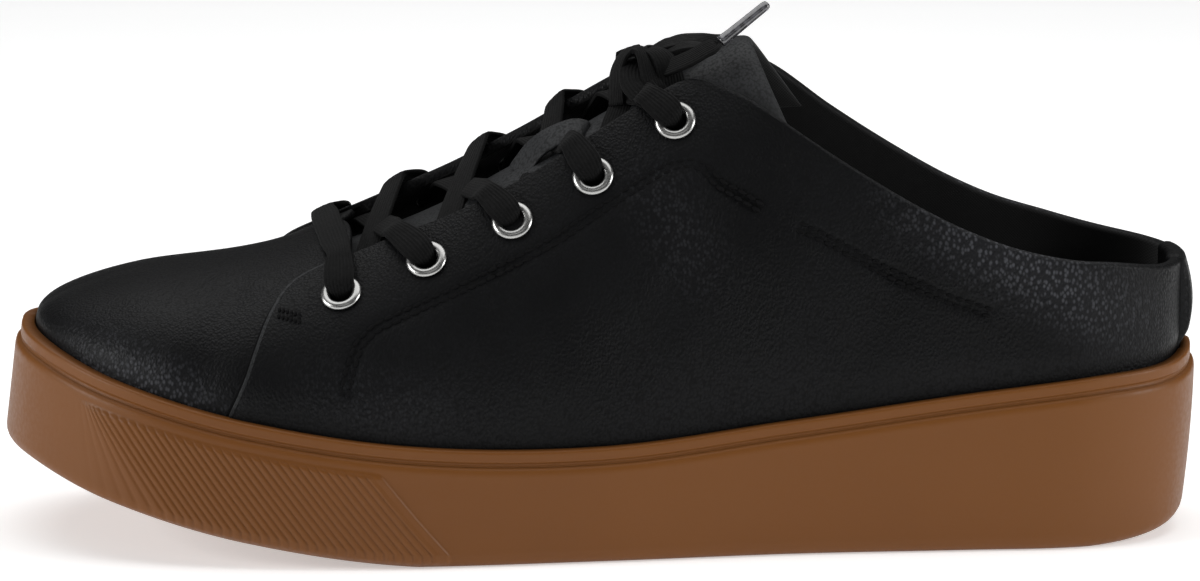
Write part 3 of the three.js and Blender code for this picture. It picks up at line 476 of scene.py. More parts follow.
def pebble_grain_group():
    """Leather grain: pebbles with fine pores between them. It gives a height, and a mask of the hollows."""
    tree, given, result = new_group(
        "pebble_grain",
        [("Place", "NodeSocketVector", None), ("Pebbles", "NodeSocketFloat", 700.0)],
        [("Height", "NodeSocketFloat"), ("Hollow", "NodeSocketFloat")],
    )
    warp = add_node(tree, "ShaderNodeTexNoise", Vector=given["Place"], Scale=500.0, Detail=2.0)
    shift = tree.nodes.new("ShaderNodeVectorMath")
    shift.operation = "MULTIPLY_ADD"
    tree.links.new(warp.outputs["Color"], shift.inputs[0])
    shift.inputs[1].default_value = (0.0007, 0.0007, 0.0007)
    tree.links.new(given["Place"], shift.inputs[2])
    cells = tree.nodes.new("ShaderNodeTexVoronoi")
    cells.feature = "SMOOTH_F1"
    cells.inputs["Smoothness"].default_value = 0.35
    tree.links.new(shift.outputs[0], cells.inputs["Vector"])
    tree.links.new(given["Pebbles"], cells.inputs["Scale"])
    pebble = math_node(tree, "SUBTRACT", 0.75, cells.outputs["Distance"])
    fine = noise_node(tree, given["Place"], 2600.0, 3.0)
    patches = noise_node(tree, given["Place"], 45.0, 2.0)
    depth = ramp_node(tree, patches, 0.3, 0.7, 0.55, 1.0)
    raised = math_node(tree, "MULTIPLY", pebble, depth)
    tree.links.new(math_node(tree, "MULTIPLY_ADD", fine, 0.22, raised), result["Height"])
    tree.links.new(ramp_node(tree, cells.outputs["Distance"], 0.35, 0.8), result["Hollow"])
    return tree


def woven_lace_group():
    """Flat braid along a lace's own UV: U in millimetres along it, V from -1 to 1 across it."""
    tree, given, result = new_group(
        "woven_lace", [("Place", "NodeSocketVector", None)], [("Height", "NodeSocketFloat")]
    )
    split = add_node(tree, "ShaderNodeSeparateXYZ", Vector=given["Place"])
    along = math_node(tree, "MULTIPLY", split.outputs["X"], 7.0)
    across = math_node(tree, "MULTIPLY", split.outputs["Y"], 30.0)
    one = math_node(tree, "SINE", math_node(tree, "ADD", along, across))
    two = math_node(tree, "SINE", math_node(tree, "SUBTRACT", along, across))
    strands = math_node(tree, "MULTIPLY", one, two)
    cords = math_node(tree, "COSINE", math_node(tree, "MULTIPLY", split.outputs["Y"], 27.0))
    weave = math_node(tree, "MULTIPLY_ADD", strands, 0.3, cords)
    tree.links.new(weave, result["Height"])
    return tree


def use_group(material_tree, group, **inputs):
    node = material_tree.nodes.new("ShaderNodeGroup")
    node.node_tree = group
    for key, value in inputs.items():
        if hasattr(value, "is_output"):
            material_tree.links.new(value, node.inputs[key])
        else:
            node.inputs[key].default_value = value
    return node.outputs


def add_bump(tree, shader, height, strength, distance_mm):
    node = add_node(tree, "ShaderNodeBump", Strength=strength, Distance=distance_mm * MM, Height=height)
    tree.links.new(node.outputs["Normal"], shader.inputs["Normal"])


def noise_node(tree, place, scale, detail):
    return add_node(tree, "ShaderNodeTexNoise", Vector=place, Scale=scale, Detail=detail).outputs["Fac"]


def set_colour(tree, shader, noise, dark, light, low=0.3, high=0.7):
    """Base colour that drifts between two colours with a noise."""
    tone = ramp_node(tree, noise, low, high)
    tree.links.new(blend_colour(tree, tone, (*dark, 1), (*light, 1)), shader.inputs["Base Color"])


def set_roughness(tree, shader, noise, smooth_end, rough_end):
    tree.links.new(ramp_node(tree, noise, 0.3, 0.7, smooth_end, rough_end), shader.inputs["Roughness"])


def painted_glint_mask(tree, centre, slope, reach, width):
    """Painted highlight mask: 1 along a soft band over the sides, with its centre as x and z, slope in degrees
    and sizes in mm.
    """
    place = tree.nodes.new("ShaderNodeTexCoord").outputs["Object"]
    along, across = math.cos(math.radians(slope)), math.sin(math.radians(slope))
    x, z = centre
    parts = []
    for a, b, low, high in ((along, across, 0.1 * reach, reach), (-across, along, 0.0, width)):
        dot = tree.nodes.new("ShaderNodeVectorMath")
        dot.operation = "DOT_PRODUCT"
        tree.links.new(place, dot.inputs[0])
        dot.inputs[1].default_value = (a, 0.0, b)
        past = math_node(tree, "SUBTRACT", dot.outputs["Value"], (a * x + b * z) * MM)
        parts.append(ramp_node(tree, math_node(tree, "ABSOLUTE", past), low * MM, high * MM, 1.0, 0.0))
    return math_node(tree, "MULTIPLY", *parts)


PEBBLES = 1500.0  # grain of the leather, in cells a metre
# Bands of painted highlight (glints) on the leather's pebble tops: centre, slope, reach, width and strength
PAINTED_GLINTS = [
    ((94.0, 66.0), -29.0, 46.0, 14.0, 0.75), ((-103.0, 40.0), -22.0, 28.0, 12.0, 0.6),
    ((16.0, 74.0), -60.0, 30.0, 14.0, 0.16), ((-52.0, 38.0), -15.0, 30.0, 12.0, 0.12),
]


def leather_material(name, grain, dark, light, roughness, bump_mm, gloss, glint_colour=None):
    """Grained leather, darker and rougher in its hollows. The last argument, if given, is the colour of
    painted highlights (glints) on the pebble tops.
    """
    material, tree, shader = new_material(name, Specular_IOR_Level=gloss)
    place = object_coordinates(tree, (1.15, 1.15, 0.8))
    out = use_group(tree, grain, Place=place, Pebbles=PEBBLES)
    tone = ramp_node(tree, noise_node(tree, place, 30.0, 3.0), 0.3, 0.7)
    colour = blend_colour(tree, tone, (*dark, 1), (*light, 1))
    colour = blend_colour(tree, out["Hollow"], colour, (*[c * 0.6 for c in dark], 1))
    # Painted highlights: in each band the pebble tops are lightened towards the glint colour.
    if glint_colour:
        cells = add_node(tree, "ShaderNodeTexVoronoi", Vector=place, Scale=1000.0)
        tops = ramp_node(tree, cells.outputs["Distance"], 0.16, 0.56, 1.0, 0.14)
        for centre, slope, reach, width, strength in PAINTED_GLINTS:
            mask = math_node(tree, "MULTIPLY", painted_glint_mask(tree, centre, slope, reach, width), strength)
            colour = blend_colour(tree, math_node(tree, "MULTIPLY", mask, tops), colour, (*glint_colour, 1))
    tree.links.new(colour, shader.inputs["Base Color"])
    rough = math_node(tree, "MULTIPLY_ADD", out["Hollow"], 0.14, roughness)
    tree.links.new(math_node(tree, "MULTIPLY_ADD", tone, 0.05, rough), shader.inputs["Roughness"])
    add_bump(tree, shader, out["Height"], 1.0, bump_mm)
    return material


def gum_material():
    """Moulded gum rubber, a little clouded."""
    material, tree, shader = new_material("gum_rubber_dressed", Specular_IOR_Level=0.3)
    place = object_coordinates(tree)
    speck = noise_node(tree, place, 900.0, 2.0)
    clouds = noise_node(tree, place, 14.0, 4.0)
    set_colour(tree, shader, clouds, (0.15, 0.0505, 0.007), (0.17, 0.0585, 0.0084))
    set_roughness(tree, shader, speck, 0.42, 0.52)
    add_bump(tree, shader, speck, 0.25, 0.05)
    return material


def cloth_material(name, colour, scale, bump_mm):
    """Fine knitted lining."""
    material, tree, shader = new_material(name, Specular_IOR_Level=0.25, Sheen_Weight=0.15,
                                          Sheen_Roughness=0.5)
    place = object_coordinates(tree)
    split = add_node(tree, "ShaderNodeSeparateXYZ", Vector=place)
    threads = [
        math_node(tree, "SINE", math_node(tree, "MULTIPLY", split.outputs[axis], scale)) for axis in ("X", "Z")
    ]
    weave = math_node(tree, "MULTIPLY", *threads)
    noise = noise_node(tree, place, 400.0, 3.0)
    height = math_node(tree, "MULTIPLY_ADD", noise, 0.8, weave)
    set_colour(tree, shader, height, [c * 0.6 for c in colour], colour, -0.6, 1.4)
    set_roughness(tree, shader, noise, 0.84, 0.9)
    add_bump(tree, shader, height, 0.6, bump_mm)
    return material


def lace_material(weave):
    material, tree, shader = new_material("lace_cotton_dressed", Specular_IOR_Level=0.14, Sheen_Weight=0.03,
                                          Sheen_Roughness=0.4)
    place = tree.nodes.new("ShaderNodeTexCoord")
    height = use_group(tree, weave, Place=place.outputs["UV"])["Height"]
    fuzz = noise_node(tree, object_coordinates(tree), 1500.0, 3.0)
    tone = math_node(tree, "MULTIPLY_ADD", fuzz, 0.8, height)
    set_colour(tree, shader, tone, (0.0006, 0.0006, 0.0007), (0.0028, 0.0028, 0.0029), -0.8, 1.6)
    set_roughness(tree, shader, fuzz, 0.72, 0.86)
    add_bump(tree, shader, height, 0.7, 0.07)
    return material


def metal_material():
    """Nickel-plated brass."""
    material, tree, shader = new_material("eyelet_metal_dressed", Metallic=1.0)
    haze = noise_node(tree, object_coordinates(tree), 1800.0, 3.0)
    set_colour(tree, shader, haze, (0.42, 0.42, 0.41), (0.47, 0.47, 0.46))
    set_roughness(tree, shader, haze, 0.26, 0.3)
    return material


def thread_material():
    material, tree, shader = new_material("thread_dressed", Specular_IOR_Level=0.12)
    twist = noise_node(tree, object_coordinates(tree), 3000.0, 2.0)
    set_colour(tree, shader, twist, (0.0012, 0.0012, 0.0014), (0.003, 0.003, 0.0034))
    set_roughness(tree, shader, twist, 0.75, 0.85)
    add_bump(tree, shader, twist, 0.5, 0.08)
    return material


def aglet_material():
    """Clear film rolled tight over the black lace."""
    material, tree, shader = new_material("aglet_plastic_dressed", Specular_IOR_Level=0.8, Coat_Weight=1.0,
                                          Coat_Roughness=0.04)
    folds = noise_node(tree, object_coordinates(tree), 700.0, 2.0)
    set_colour(tree, shader, folds, (0.02, 0.02, 0.022), (0.09, 0.09, 0.1), 0.35, 0.65)
    set_roughness(tree, shader, folds, 0.1, 0.22)
    add_bump(tree, shader, folds, 0.4, 0.15)
    return material


def floor_material():
    material, tree, shader = new_material("studio_floor", Specular_IOR_Level=0.1, Emission_Color=(1, 1, 1, 1),
                                          Emission_Strength=0.42)
    haze = noise_node(tree, object_coordinates(tree), 2.0, 2.0)
    set_colour(tree, shader, haze, (0.95, 0.95, 0.95), (0.97, 0.97, 0.97))
    set_roughness(tree, shader, haze, 0.8, 0.9)
    return material


# Sole

COLUMNS_PER_RIB = 6
ROUND_STEPS = 7
WALL_STEPS = 42


def sole_columns():
    """Turns of the sole's columns at mid height, close together along the ribs."""
    ribs = turn_at(np.arange(PANEL_BACK - 2 * RIB_PITCH, RIB_END, RIB_PITCH / COLUMNS_PER_RIB))
    before = np.linspace(0, ribs[0], 190, endpoint=False)
    after = np.linspace(ribs[-1], 1, 46)[1:]
    return np.concatenate([before, ribs, after])


def sole_wall(side, turns):
    """Points of the wall at each column, from the floor up over the rim and down into the cup."""
    middle = station(turns)
    fade = ease((RIB_END - middle) / PANEL_FADE) * ease((middle - PANEL_BACK) / PANEL_FADE + 2)
    points = []

    def add(height_at, inset_at, share=None):
        """share is the height in the panel, 0 at its foot and 1 at its top."""
        lift = 0.5 if share is None else share
        turn = turn_at(np.clip(middle + RIB_SLANT * fade * (lift - 0.5), 0, LENGTH))
        under, top = underside(turn), rim(turn)
        height = height_at(under, top)
        part = np.clip((height - under) / (top - under), 0, 1)
        base = toe_lean(turn) * part + heel_tuck(turn) * (1 - part) ** 2
        s, y = outline(side, turn, base + inset_at(under, top, height))
        points.append(to_point(s, y, height))

    def panel(under, top, height):
        """The ribbed panel, which stands proud of the wall."""
        past = middle - PANEL_BACK
        head = top - RIM_HEIGHT - GROOVE_HEIGHT - PANEL_HEAD
        band = ease(height - under - PANEL_FOOT) * ease(head - height)
        body = ease(past / 0.7) * ease((RIB_END - middle) / PANEL_FADE) * band
        wave = np.sqrt(np.abs(np.sin(np.pi * past / RIB_PITCH)))
        ridges = RIB_DEPTH * wave * ease((past - PLAIN_BAND) / 1.2)
        return -body * (PANEL_STEP + ridges)

    for angle in np.linspace(0, np.pi / 2, ROUND_STEPS):
        add(
            lambda under, top: under + FOOT_ROUND * (1 - np.cos(angle)),
            lambda *at: FOOT_ROUND * (1 - np.sin(angle)) + panel(*at),
            0.0,
        )
    for share in np.linspace(0, 1, WALL_STEPS)[1:]:
        add(
            lambda under, top: mix(under + FOOT_ROUND, top - RIM_HEIGHT - GROOVE_HEIGHT - SHOULDER, share),
            panel,
            share,
        )
    for angle in np.linspace(0, np.pi / 2, ROUND_STEPS)[1:]:
        add(
            lambda under, top: top - RIM_HEIGHT - GROOVE_HEIGHT - SHOULDER * (1 - np.sin(angle)),
            lambda *at: (RIM_INSET + GROOVE_DEPTH) * (1 - np.cos(angle)) ** 1.4,
            mix(1.0, 0.5, angle / (np.pi / 2)),
        )
    for angle in np.linspace(0, np.pi, ROUND_STEPS)[1:-1]:
        add(
            lambda under, top: top - RIM_HEIGHT - GROOVE_HEIGHT * (0.5 + 0.5 * np.cos(angle)),
            lambda *at: RIM_INSET + GROOVE_DEPTH * np.sin(angle),
        )
    for share in np.linspace(0, 1, 6):
        add(lambda under, top: mix(top - RIM_HEIGHT, top - RIM_ROUND, share), lambda *at: RIM_INSET)
    for angle in np.linspace(0, np.pi / 2, 5)[1:]:
        add(
            lambda under, top: top - RIM_ROUND * (1 - np.sin(angle)),
            lambda *at: RIM_INSET + RIM_ROUND * (1 - np.cos(angle)),
        )
    seat = np.where(turns < FRONT_TURN, QUARTER_STEP, 0) + np.where(turns < STRIP_TURN, STRIP_STEP, 0)
    s, y = outline(side, turns, UPPER_INSET + toe_lean(turns) - seat * SEAT_SHARE - FIT)
    points += [to_point(s, y, rim(turns) - height) for height in (0.0, 0.25, CUP_DEPTH)]
    return np.stack(points, 1)


def slab(lateral, medial):
    """Ring of columns round the foot, closed across it below their first row and over their last."""
    ring = np.concatenate([lateral, medial[1:-1][::-1]])
    around, rows = ring.shape[:2]
    count = len(lateral)
    faces = grid_faces(around, rows, around=True).tolist()
    for row, upwards in ((0, False), (rows - 1, True)):
        for c in range(count - 1):
            quad = [c, c + 1, (2 * count - 3 - c) % around, (2 * count - 2 - c) % around]
            quad = [q * rows + row for q in quad]
            kept = [q for i, q in enumerate(quad) if q not in quad[:i]]
            if len(kept) > 2:
                faces.append(kept if upwards else kept[::-1])
    return ring, faces


def add_sole(material):
    turns = sole_columns()
    halves = [sole_wall(side, turns) for side in (LATERAL, MEDIAL)]
    piece = add_mesh("cupsole_dressed", *slab(*halves), [material])
    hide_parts("cupsole")
    return piece


# Section of the insole's edge: how far in and how high, as shares of its thickness
INSOLE_EDGE = [(0.0, 0.0), (0.0, 0.45), (0.05, 0.75), (0.25, 0.95), (0.6, 1.0)]


def add_footbed(material):
    """Insole with a rolled edge."""
    turns = np.linspace(0, 1, 150)
    inset = UPPER_INSET + LEATHER + INSOLE_GAP + toe_lean(turns)
    floor = rim(turns) - CUP_DEPTH + FIT
    halves = []
    for side in (LATERAL, MEDIAL):
        rows = [
            to_point(*outline(side, turns, inset + inwards * INSOLE_THICK), floor + up * INSOLE_THICK)
            for inwards, up in INSOLE_EDGE
        ]
        halves.append(np.stack(rows, 1))
    piece = add_mesh("footbed", *slab(*halves), [material])
    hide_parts("insole")
    return piece


# Upper

TOP_ROW = 0.985  # the leather's edge is rolled over from here
ROLL_STEPS = 7
ROLL_HEIGHT = 0.75
TAB_LEVEL = 0.04
TAB_TURN = 0.012  # how far the vamp runs back under a quarter
EDGE_TURN = 0.0028  # width of a quarter's rounded front edge
STRIP_EDGE_TURN = 0.006
STRIP_SEAT = 2.5  # how far the heel strip goes down into the cup
STRIP_UNDER = 0.02  # its underside, over the quarter
STRIP_INSIDE_ROWS = 14

# Soft troughs and ridges of the leather: where each starts and ends, as turn and share of the edge's rise,
# its half width and its depth in millimetres. A depth below 0 is a ridge.
CREASES = [
    (LATERAL, (0.735, 0.12), (0.715, 0.62), 4.0, 0.35),
    (LATERAL, (0.762, 0.10), (0.742, 0.55), 3.5, -0.22),
    (LATERAL, (0.49, 0.14), (0.40, 0.50), 7.0, 0.45),
    (LATERAL, (0.36, 0.10), (0.33, 0.28), 6.0, 0.35),
    (LATERAL, (0.52, 0.30), (0.44, 0.56), 5.0, -0.3),
    (LATERAL, (0.58, 0.10), (0.55, 0.36), 6.0, 0.3),
    (MEDIAL, (0.74, 0.12), (0.72, 0.7), 4.0, 0.35),
    (MEDIAL, (0.50, 0.16), (0.42, 0.60), 7.0, 0.45),
    (MEDIAL, (0.37, 0.10), (0.34, 0.32), 6.0, 0.35),
    (MEDIAL, (0.60, 0.12), (0.56, 0.42), 6.0, 0.3),
]

# Rows of stitches on a quarter, as turn and rise on the lateral side
EYESTAY_SEAM = [
    (0.641, 0.144), (0.638, 0.224), (0.633, 0.300), (0.624, 0.339), (0.610, 0.358), (0.594, 0.374),
    (0.556, 0.404), (0.524, 0.430), (0.503, 0.461), (0.476, 0.496), (0.465, 0.508), (0.455, 0.504),
    (0.447, 0.486), (0.439, 0.442), (0.417, 0.379),
]
COLLAR_SEAM = [(0.395, 0.333), (0.379, 0.305), (0.356, 0.259), (0.338, 0.226), (0.307, 0.180), (0.281, 0.149)]
SEAM_APART = 1.65
SEAM_WIDTH = 1.05
SEAM_DEPTH = 0.5
SEAM_SMOOTH = 9


def seam_line(route, side, level, shift):
    """Fine points of a seam on the last, moved sideways by a shift."""
    route = np.array(route)
    fine = np.linspace(0, len(route) - 1, 24 * len(route))
    turn = np.interp(fine, np.arange(len(route)), route[:, 0])
    rise = np.interp(fine, np.arange(len(route)), route[:, 1])
    if side > 0:
        rise = rise * sided(TOPLINE, MEDIAL, turn) / sided(TOPLINE, LATERAL, turn)
    window = np.hanning(2 * SEAM_SMOOTH + 1)
    window /= window.sum()
    padded = [np.pad(values, SEAM_SMOOTH, mode="edge") for values in (turn, rise)]
    turn, rise = (np.convolve(values, window, mode="valid") for values in padded)
    line = surface(side, turn, rise, np.full(len(turn), level))
    facing = outward(side, turn, rise)
    along = unit(np.gradient(line, axis=0))
    return line + np.cross(facing, along) * shift


def near_line(points, line):
    """Distance from each point to the nearest point of a fine line."""
    best = np.full(points.shape[:-1], 1e9)
    for spot in line:
        best = np.minimum(best, ((points - spot) ** 2).sum(-1))
    return np.sqrt(best)


def relief(points, seams):
    """Listed creases, and the pull of the stitches."""
    level = np.zeros(points.shape[:-1])
    for hand, begin, end, width, depth in CREASES:
        t = np.linspace(0, 1, 18)
        path = last_point(hand, mix(begin[0], end[0], t), mix(begin[1], end[1], t))
        level -= depth * np.exp(-((near_line(points, path) / width) ** 2))
    for line in seams:
        box_low, box_high = line.min(0) - 3, line.max(0) + 3
        close = ((points > box_low) & (points < box_high)).all(-1)
        level[close] -= SEAM_DEPTH * np.exp(-((near_line(points[close], line) / SEAM_WIDTH) ** 2))
    return level


def rolled_edge(outer, inner):
    """Half-round between the last points of outer and inner columns, pointing away from the wall."""
    middle = (outer[:, -1] + inner[:, -1]) / 2
    across = (outer[:, -1] - inner[:, -1]) / 2
    reach = np.linalg.norm(across, axis=-1, keepdims=True)
    up = unit(middle - (outer[:, -4] + inner[:, -4]) / 2)
    angles = np.linspace(0, np.pi, ROLL_STEPS + 2)[1:-1]
    return np.stack([middle + across * np.cos(a) + up * reach * ROLL_HEIGHT * np.sin(a) for a in angles], 1)


def skirt(side, turn, level, depth):
    """Where the upper goes down into the cup."""
    s, y = outline(side, turn, UPPER_INSET + toe_lean(turn))
    flat = outward(side, turn, np.zeros_like(turn))
    flat[..., 2] = 0
    return to_point(s, y, rim(turn) - depth) + unit(flat) * np.asarray(level)[..., None]


def wall_places(side, turn, rows):
    """The last's surface, and the way it faces, at rows of columns of the upper."""
    rows = np.atleast_2d(rows)
    across = np.broadcast_to(side[:, None], (len(turn), rows.shape[1]))
    at_turn, at_rise = column_at(across, turn[:, None], rows)
    return last_point(across, at_turn, at_rise), outward(across, at_turn, at_rise)


def seated(rows):
    """Share of a step's height at rows of a column: it thins out towards the cup."""
    return mix(SEAT_SHARE, 1, ease(rows / SEAT_REACH))


def end_strip(ring, turned):
    """Faces that close a column's loop, from its ends towards its middle."""
    faces = []
    low, high = 0, len(ring) - 1
    while high - low > 2:
        faces.append([ring[low], ring[low + 1], ring[high - 1], ring[high]])
        low, high = low + 1, high - 1
    if high - low == 2:
        faces.append([ring[low], ring[low + 1], ring[high]])
    return [face[::-1] for face in faces] if turned else faces


def closed_columns(loops):
    """Points of columns that close on themselves, their faces, and the faces at both ends."""
    closed = np.concatenate([loops, loops[:, :1]], axis=1)
    count, size = closed.shape[:2]
    ends = []
    for column, turned in ((0, False), (count - 1, True)):
        ends += end_strip([column * size + i for i in range(size - 1)], turned)
    return closed, grid_faces(count, size), ends


def add_quarters(leather, lining, seams):
    """Both quarters in one piece round the heel, lying over the vamp at their front edges."""
    steps = [0.0, 0.0003, 0.0007, 0.0012, 0.0019, 0.0028, 0.0045, 0.0065, 0.0085, 0.0105]
    fronts = FRONT_TURN - np.array(steps)
    tab = FRONT_TURN - TAB_TURN
    half = np.concatenate([fronts, [tab + 0.0004, tab - 0.0004], np.linspace(tab - 0.003, 0, 236)])
    turn = np.concatenate([half, half[:-1][::-1]])
    side = np.concatenate([np.full(len(half), LATERAL), np.full(len(half) - 1, MEDIAL)])
    rows = np.concatenate([np.linspace(0, 0.94, 66), np.linspace(0.95, TOP_ROW, 6)])
    edge = np.clip((FRONT_TURN - turn) / EDGE_TURN, 0, 1)
    level = mix(0.12, QUARTER_STEP, np.sqrt(1 - (1 - edge) ** 2))
    inner_level = np.where(turn > tab, TAB_LEVEL, -LEATHER)
    bare, facing = wall_places(side, turn, rows)
    lift = level[:, None] * seated(rows)[None, :] + relief(bare, seams)
    outer = bare + facing * lift[..., None]
    inner = bare + facing * inner_level[:, None, None]
    skirts = [skirt(side, turn, level * SEAT_SHARE, depth) for depth in (SKIRT_FOOT, SKIRT_HEAD)]
    hems = [skirt(side, turn, inner_level, depth) for depth in (SKIRT_HEAD, SKIRT_FOOT)]
    loops = [np.stack(skirts, 1), outer, rolled_edge(outer, inner), inner[:, ::-1], np.stack(hems, 1)]
    closed, faces, ends = closed_columns(np.concatenate(loops, axis=1))
    inside = faces[:, 0] % closed.shape[1] >= outer.shape[1] + ROLL_STEPS
    picks = [*inside.astype(int), *[0] * len(ends)]
    return add_mesh("quarters", closed, [*faces.tolist(), *ends], [leather, lining], picks=picks)


def add_edge_highlight_and_shadow(raw, shade):
    """Bead along both quarters' front edges in lighter grey leather, a painted highlight, and a thin black
    strip just in front of it, a painted shadow.
    """
    rows = np.linspace(0.0, TOP_ROW, 90)
    # The grey bead is partly a real raised edge and partly a painted highlight; the black strip is a painted
    # shadow.
    for name, shift, level, width, thick, material in (
        ("edge_highlight_bead", 0.0013, QUARTER_STEP - 0.16, 0.75, 0.5, raw),
        ("edge_shadow_strip", -0.0006, 0.0, 1.0, 0.24, shade),
    ):
        groups = []
        for side in (LATERAL, MEDIAL):
            hands = np.full(len(rows), side)
            turn, rise = column_at(hands, np.full(len(rows), FRONT_TURN - shift), rows)
            facing = outward(hands, turn, rise)
            path = last_point(hands, turn, rise) + facing * (level * seated(rows))[:, None]
            groups.append(band_group(path, facing, width, thick, flute=0.0))
        piece = add_band(name, groups, material, [])
        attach(piece, "root")


def add_vamp(leather, lining):
    """Toe and vamp in one piece, open at the throat and closed over the crest."""
    start = FRONT_TURN - TAB_TURN + 0.0008
    half = np.concatenate([
        np.linspace(start, THROAT_FOOT, 54), np.linspace(THROAT_FOOT, 0.97, 96)[1:],
        np.linspace(0.97, 1, 26)[1:],
    ])
    rows = np.concatenate([np.linspace(0, 0.9, 58), np.linspace(0.91, 1.0, 12)])
    throat = np.interp(half, [FRONT_TURN, FRONT_TURN + 0.004, THROAT_FOOT], [0.94, TOP_ROW, 1.0])
    shown = rows[None, :] * np.where(half < THROAT_FOOT, throat, 1.0)[:, None]
    at_throat = half <= THROAT_FOOT
    groups, picks = [], []
    for hand in (LATERAL, MEDIAL):
        side = np.full(len(half), hand)
        level = np.zeros(len(half))
        bare, facing = wall_places(side, half, shown)
        lift = relief(bare, []) * ease((half - FRONT_TURN) / 0.01)[:, None]
        outer = bare + facing * lift[..., None]
        inner = bare - facing * LEATHER
        skirts = [skirt(side, half, level, depth) for depth in (SKIRT_FOOT, SKIRT_HEAD)]
        hems = [skirt(side, half, level - LEATHER, depth) for depth in (SKIRT_HEAD, SKIRT_FOOT)]
        outside = np.concatenate([np.stack(skirts, 1), outer], axis=1)
        inside = np.concatenate([inner[:, ::-1], np.stack(hems, 1)], axis=1)
        roll = rolled_edge(outer[at_throat], inner[at_throat])
        band = np.concatenate([outer[at_throat, -1:], roll, inner[at_throat, -1:]], axis=1)
        hem = np.stack([inside[:, -1], outside[:, 0]], 1)
        for grid, pick in ((outside, 0), (inside, 1), (band, 0), (hem, 0)):
            faces = grid_faces(*grid.shape[:2]).tolist()
            groups.append((grid, faces))
            picks += [pick] * len(faces)
        loop = np.concatenate([outside[0], band[0, 1:-1], inside[0]])
        faces = end_strip(range(len(loop)), hand == MEDIAL)
        groups.append((loop, faces))
        picks += [0] * len(faces)
    points, faces, _ = joined(groups)
    return add_mesh("vamp", points, faces, [leather, lining], picks=picks)


def add_heel_strip(leather):
    """Narrow strip over the heel seam, folded over the collar's edge and down inside."""
    turns = np.linspace(-STRIP_TURN, STRIP_TURN, 41)
    side = np.where(turns < 0, LATERAL, MEDIAL)
    turn = np.abs(turns)
    edge = np.clip((STRIP_TURN - turn) / STRIP_EDGE_TURN, 0, 1)
    lift = STRIP_STEP * np.sqrt(1 - (1 - edge) ** 2)
    rows = np.concatenate([np.linspace(0.0, 0.94, 40), np.linspace(0.95, TOP_ROW, 5)])
    bare, facing = wall_places(side, turn, rows)

    def skin(extra):
        """Skin of the strip, over the quarter outside, round the collar's edge and down inside."""
        swell = HEEL_SWELL * np.sin(np.pi * rows)[None, :] * (extra / STRIP_STEP)[:, None]
        level = (QUARTER_STEP + extra)[:, None] * seated(rows)[None, :] + swell
        outer = bare + facing * level[..., None]
        inner = bare - facing * (LEATHER + extra)[:, None, None]
        seat = skirt(side, turn, (QUARTER_STEP + extra) * SEAT_SHARE, STRIP_SEAT)
        inside = inner[:, ::-1][:, :STRIP_INSIDE_ROWS]
        return np.concatenate([seat[:, None], outer, rolled_edge(outer, inner), inside], axis=1)

    top, bottom = skin(lift), skin(np.full(len(turn), STRIP_UNDER))
    closed, faces, ends = closed_columns(np.concatenate([top, bottom[:, ::-1]], axis=1))
    return add_mesh("heel_strip", closed, [*faces.tolist(), *ends], [leather])


def tongue_level(side, turn, rise):
    """The tongue's upper face, from the last's surface: it hangs in the throat."""
    edge = sided(TOPLINE, side, turn)
    inside = mix(SAG_EDGE, 1, ease((rise - edge) / (1 - edge)))
    inside = inside + np.where(np.asarray(side) > 0, MEDIAL_FALL * ease((1 - rise) / 0.16), 0)
    return TONGUE_TOP - TONGUE_SAG * smooth(TONGUE_FALL, "share", turn) * inside


def tongue_place(along, across):
    side = np.where(across < 0, LATERAL, MEDIAL)
    tip = TONGUE_TIP - TONGUE_DROP * np.abs(across) ** 2
    turn = mix(TONGUE_ROOT, tip, along)
    return side, turn, mix(1, sided(TONGUE_EDGES, side, turn), np.abs(across))


def add_tongue(leather, lining):
    """Padded tongue with a bound edge."""
    round_from = 1 - TONGUE_ROUND
    tip = round_from + TONGUE_ROUND * np.sin(np.linspace(0, np.pi / 2, 9))[1:]
    along = np.concatenate([np.linspace(0, round_from, 90), tip])
    across = np.sin(np.linspace(-np.pi / 2, np.pi / 2, 61))
    u, v = np.meshgrid(along, across, indexing="ij")
    side, turn, rise = tongue_place(u, v)
    bare = last_point(side, turn, rise)
    facing = outward(side, turn, rise)
    end = np.sqrt(np.clip(1 - ((u - round_from) / TONGUE_ROUND).clip(0, 1) ** 2, 0.0, 1))
    edge = np.sqrt(np.clip(1 - np.abs(v) ** 6, 0, 1))
    half = TONGUE_THICK / 2 * mix(0.12, 1, end) * mix(0.16, 1, edge)
    middle = tongue_level(side, turn, rise) - TONGUE_THICK / 2
    groove = np.exp(-(((u - 0.93) / 0.006) ** 2)) + np.exp(-(((np.abs(v) - 0.86) / 0.02) ** 2))
    binding = -BINDING * groove
    top = bare + facing * (middle + half + binding * end)[..., None]
    bottom = bare + facing * (middle - half)[..., None]
    closed, faces, ends = closed_columns(np.concatenate([top, bottom[:, ::-1]], axis=1))
    picks = [*(faces[:, 0] % closed.shape[1] >= len(across)).astype(int), *[0] * len(ends)]
    piece = add_mesh("tongue_dressed", closed, [*faces.tolist(), *ends], [leather, lining], picks=picks)
    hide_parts("tongue")
    return piece


# Eyelets

# Radius and height of the section, from the barrel's mouth round the flange
EYELET_PROFILE = [
    (2.55, -3.0), (2.55, 0.35), (2.62, 0.62), (2.82, 0.86), (3.15, 1.02), (3.6, 1.06), (4.05, 0.98),
    (4.4, 0.78), (4.62, 0.52), (4.7, 0.3), (4.62, 0.24), (3.05, 0.24), (3.0, -3.0),
]
HOLE_CUT = 3.12  # radius of the holes in the leather
CUT_IN, CUT_OUT = 9, 4  # how far the cut reaches to both sides


def eyelet_rise(side, i):
    return EYELETS["lateral" if side < 0 else "medial"][i]


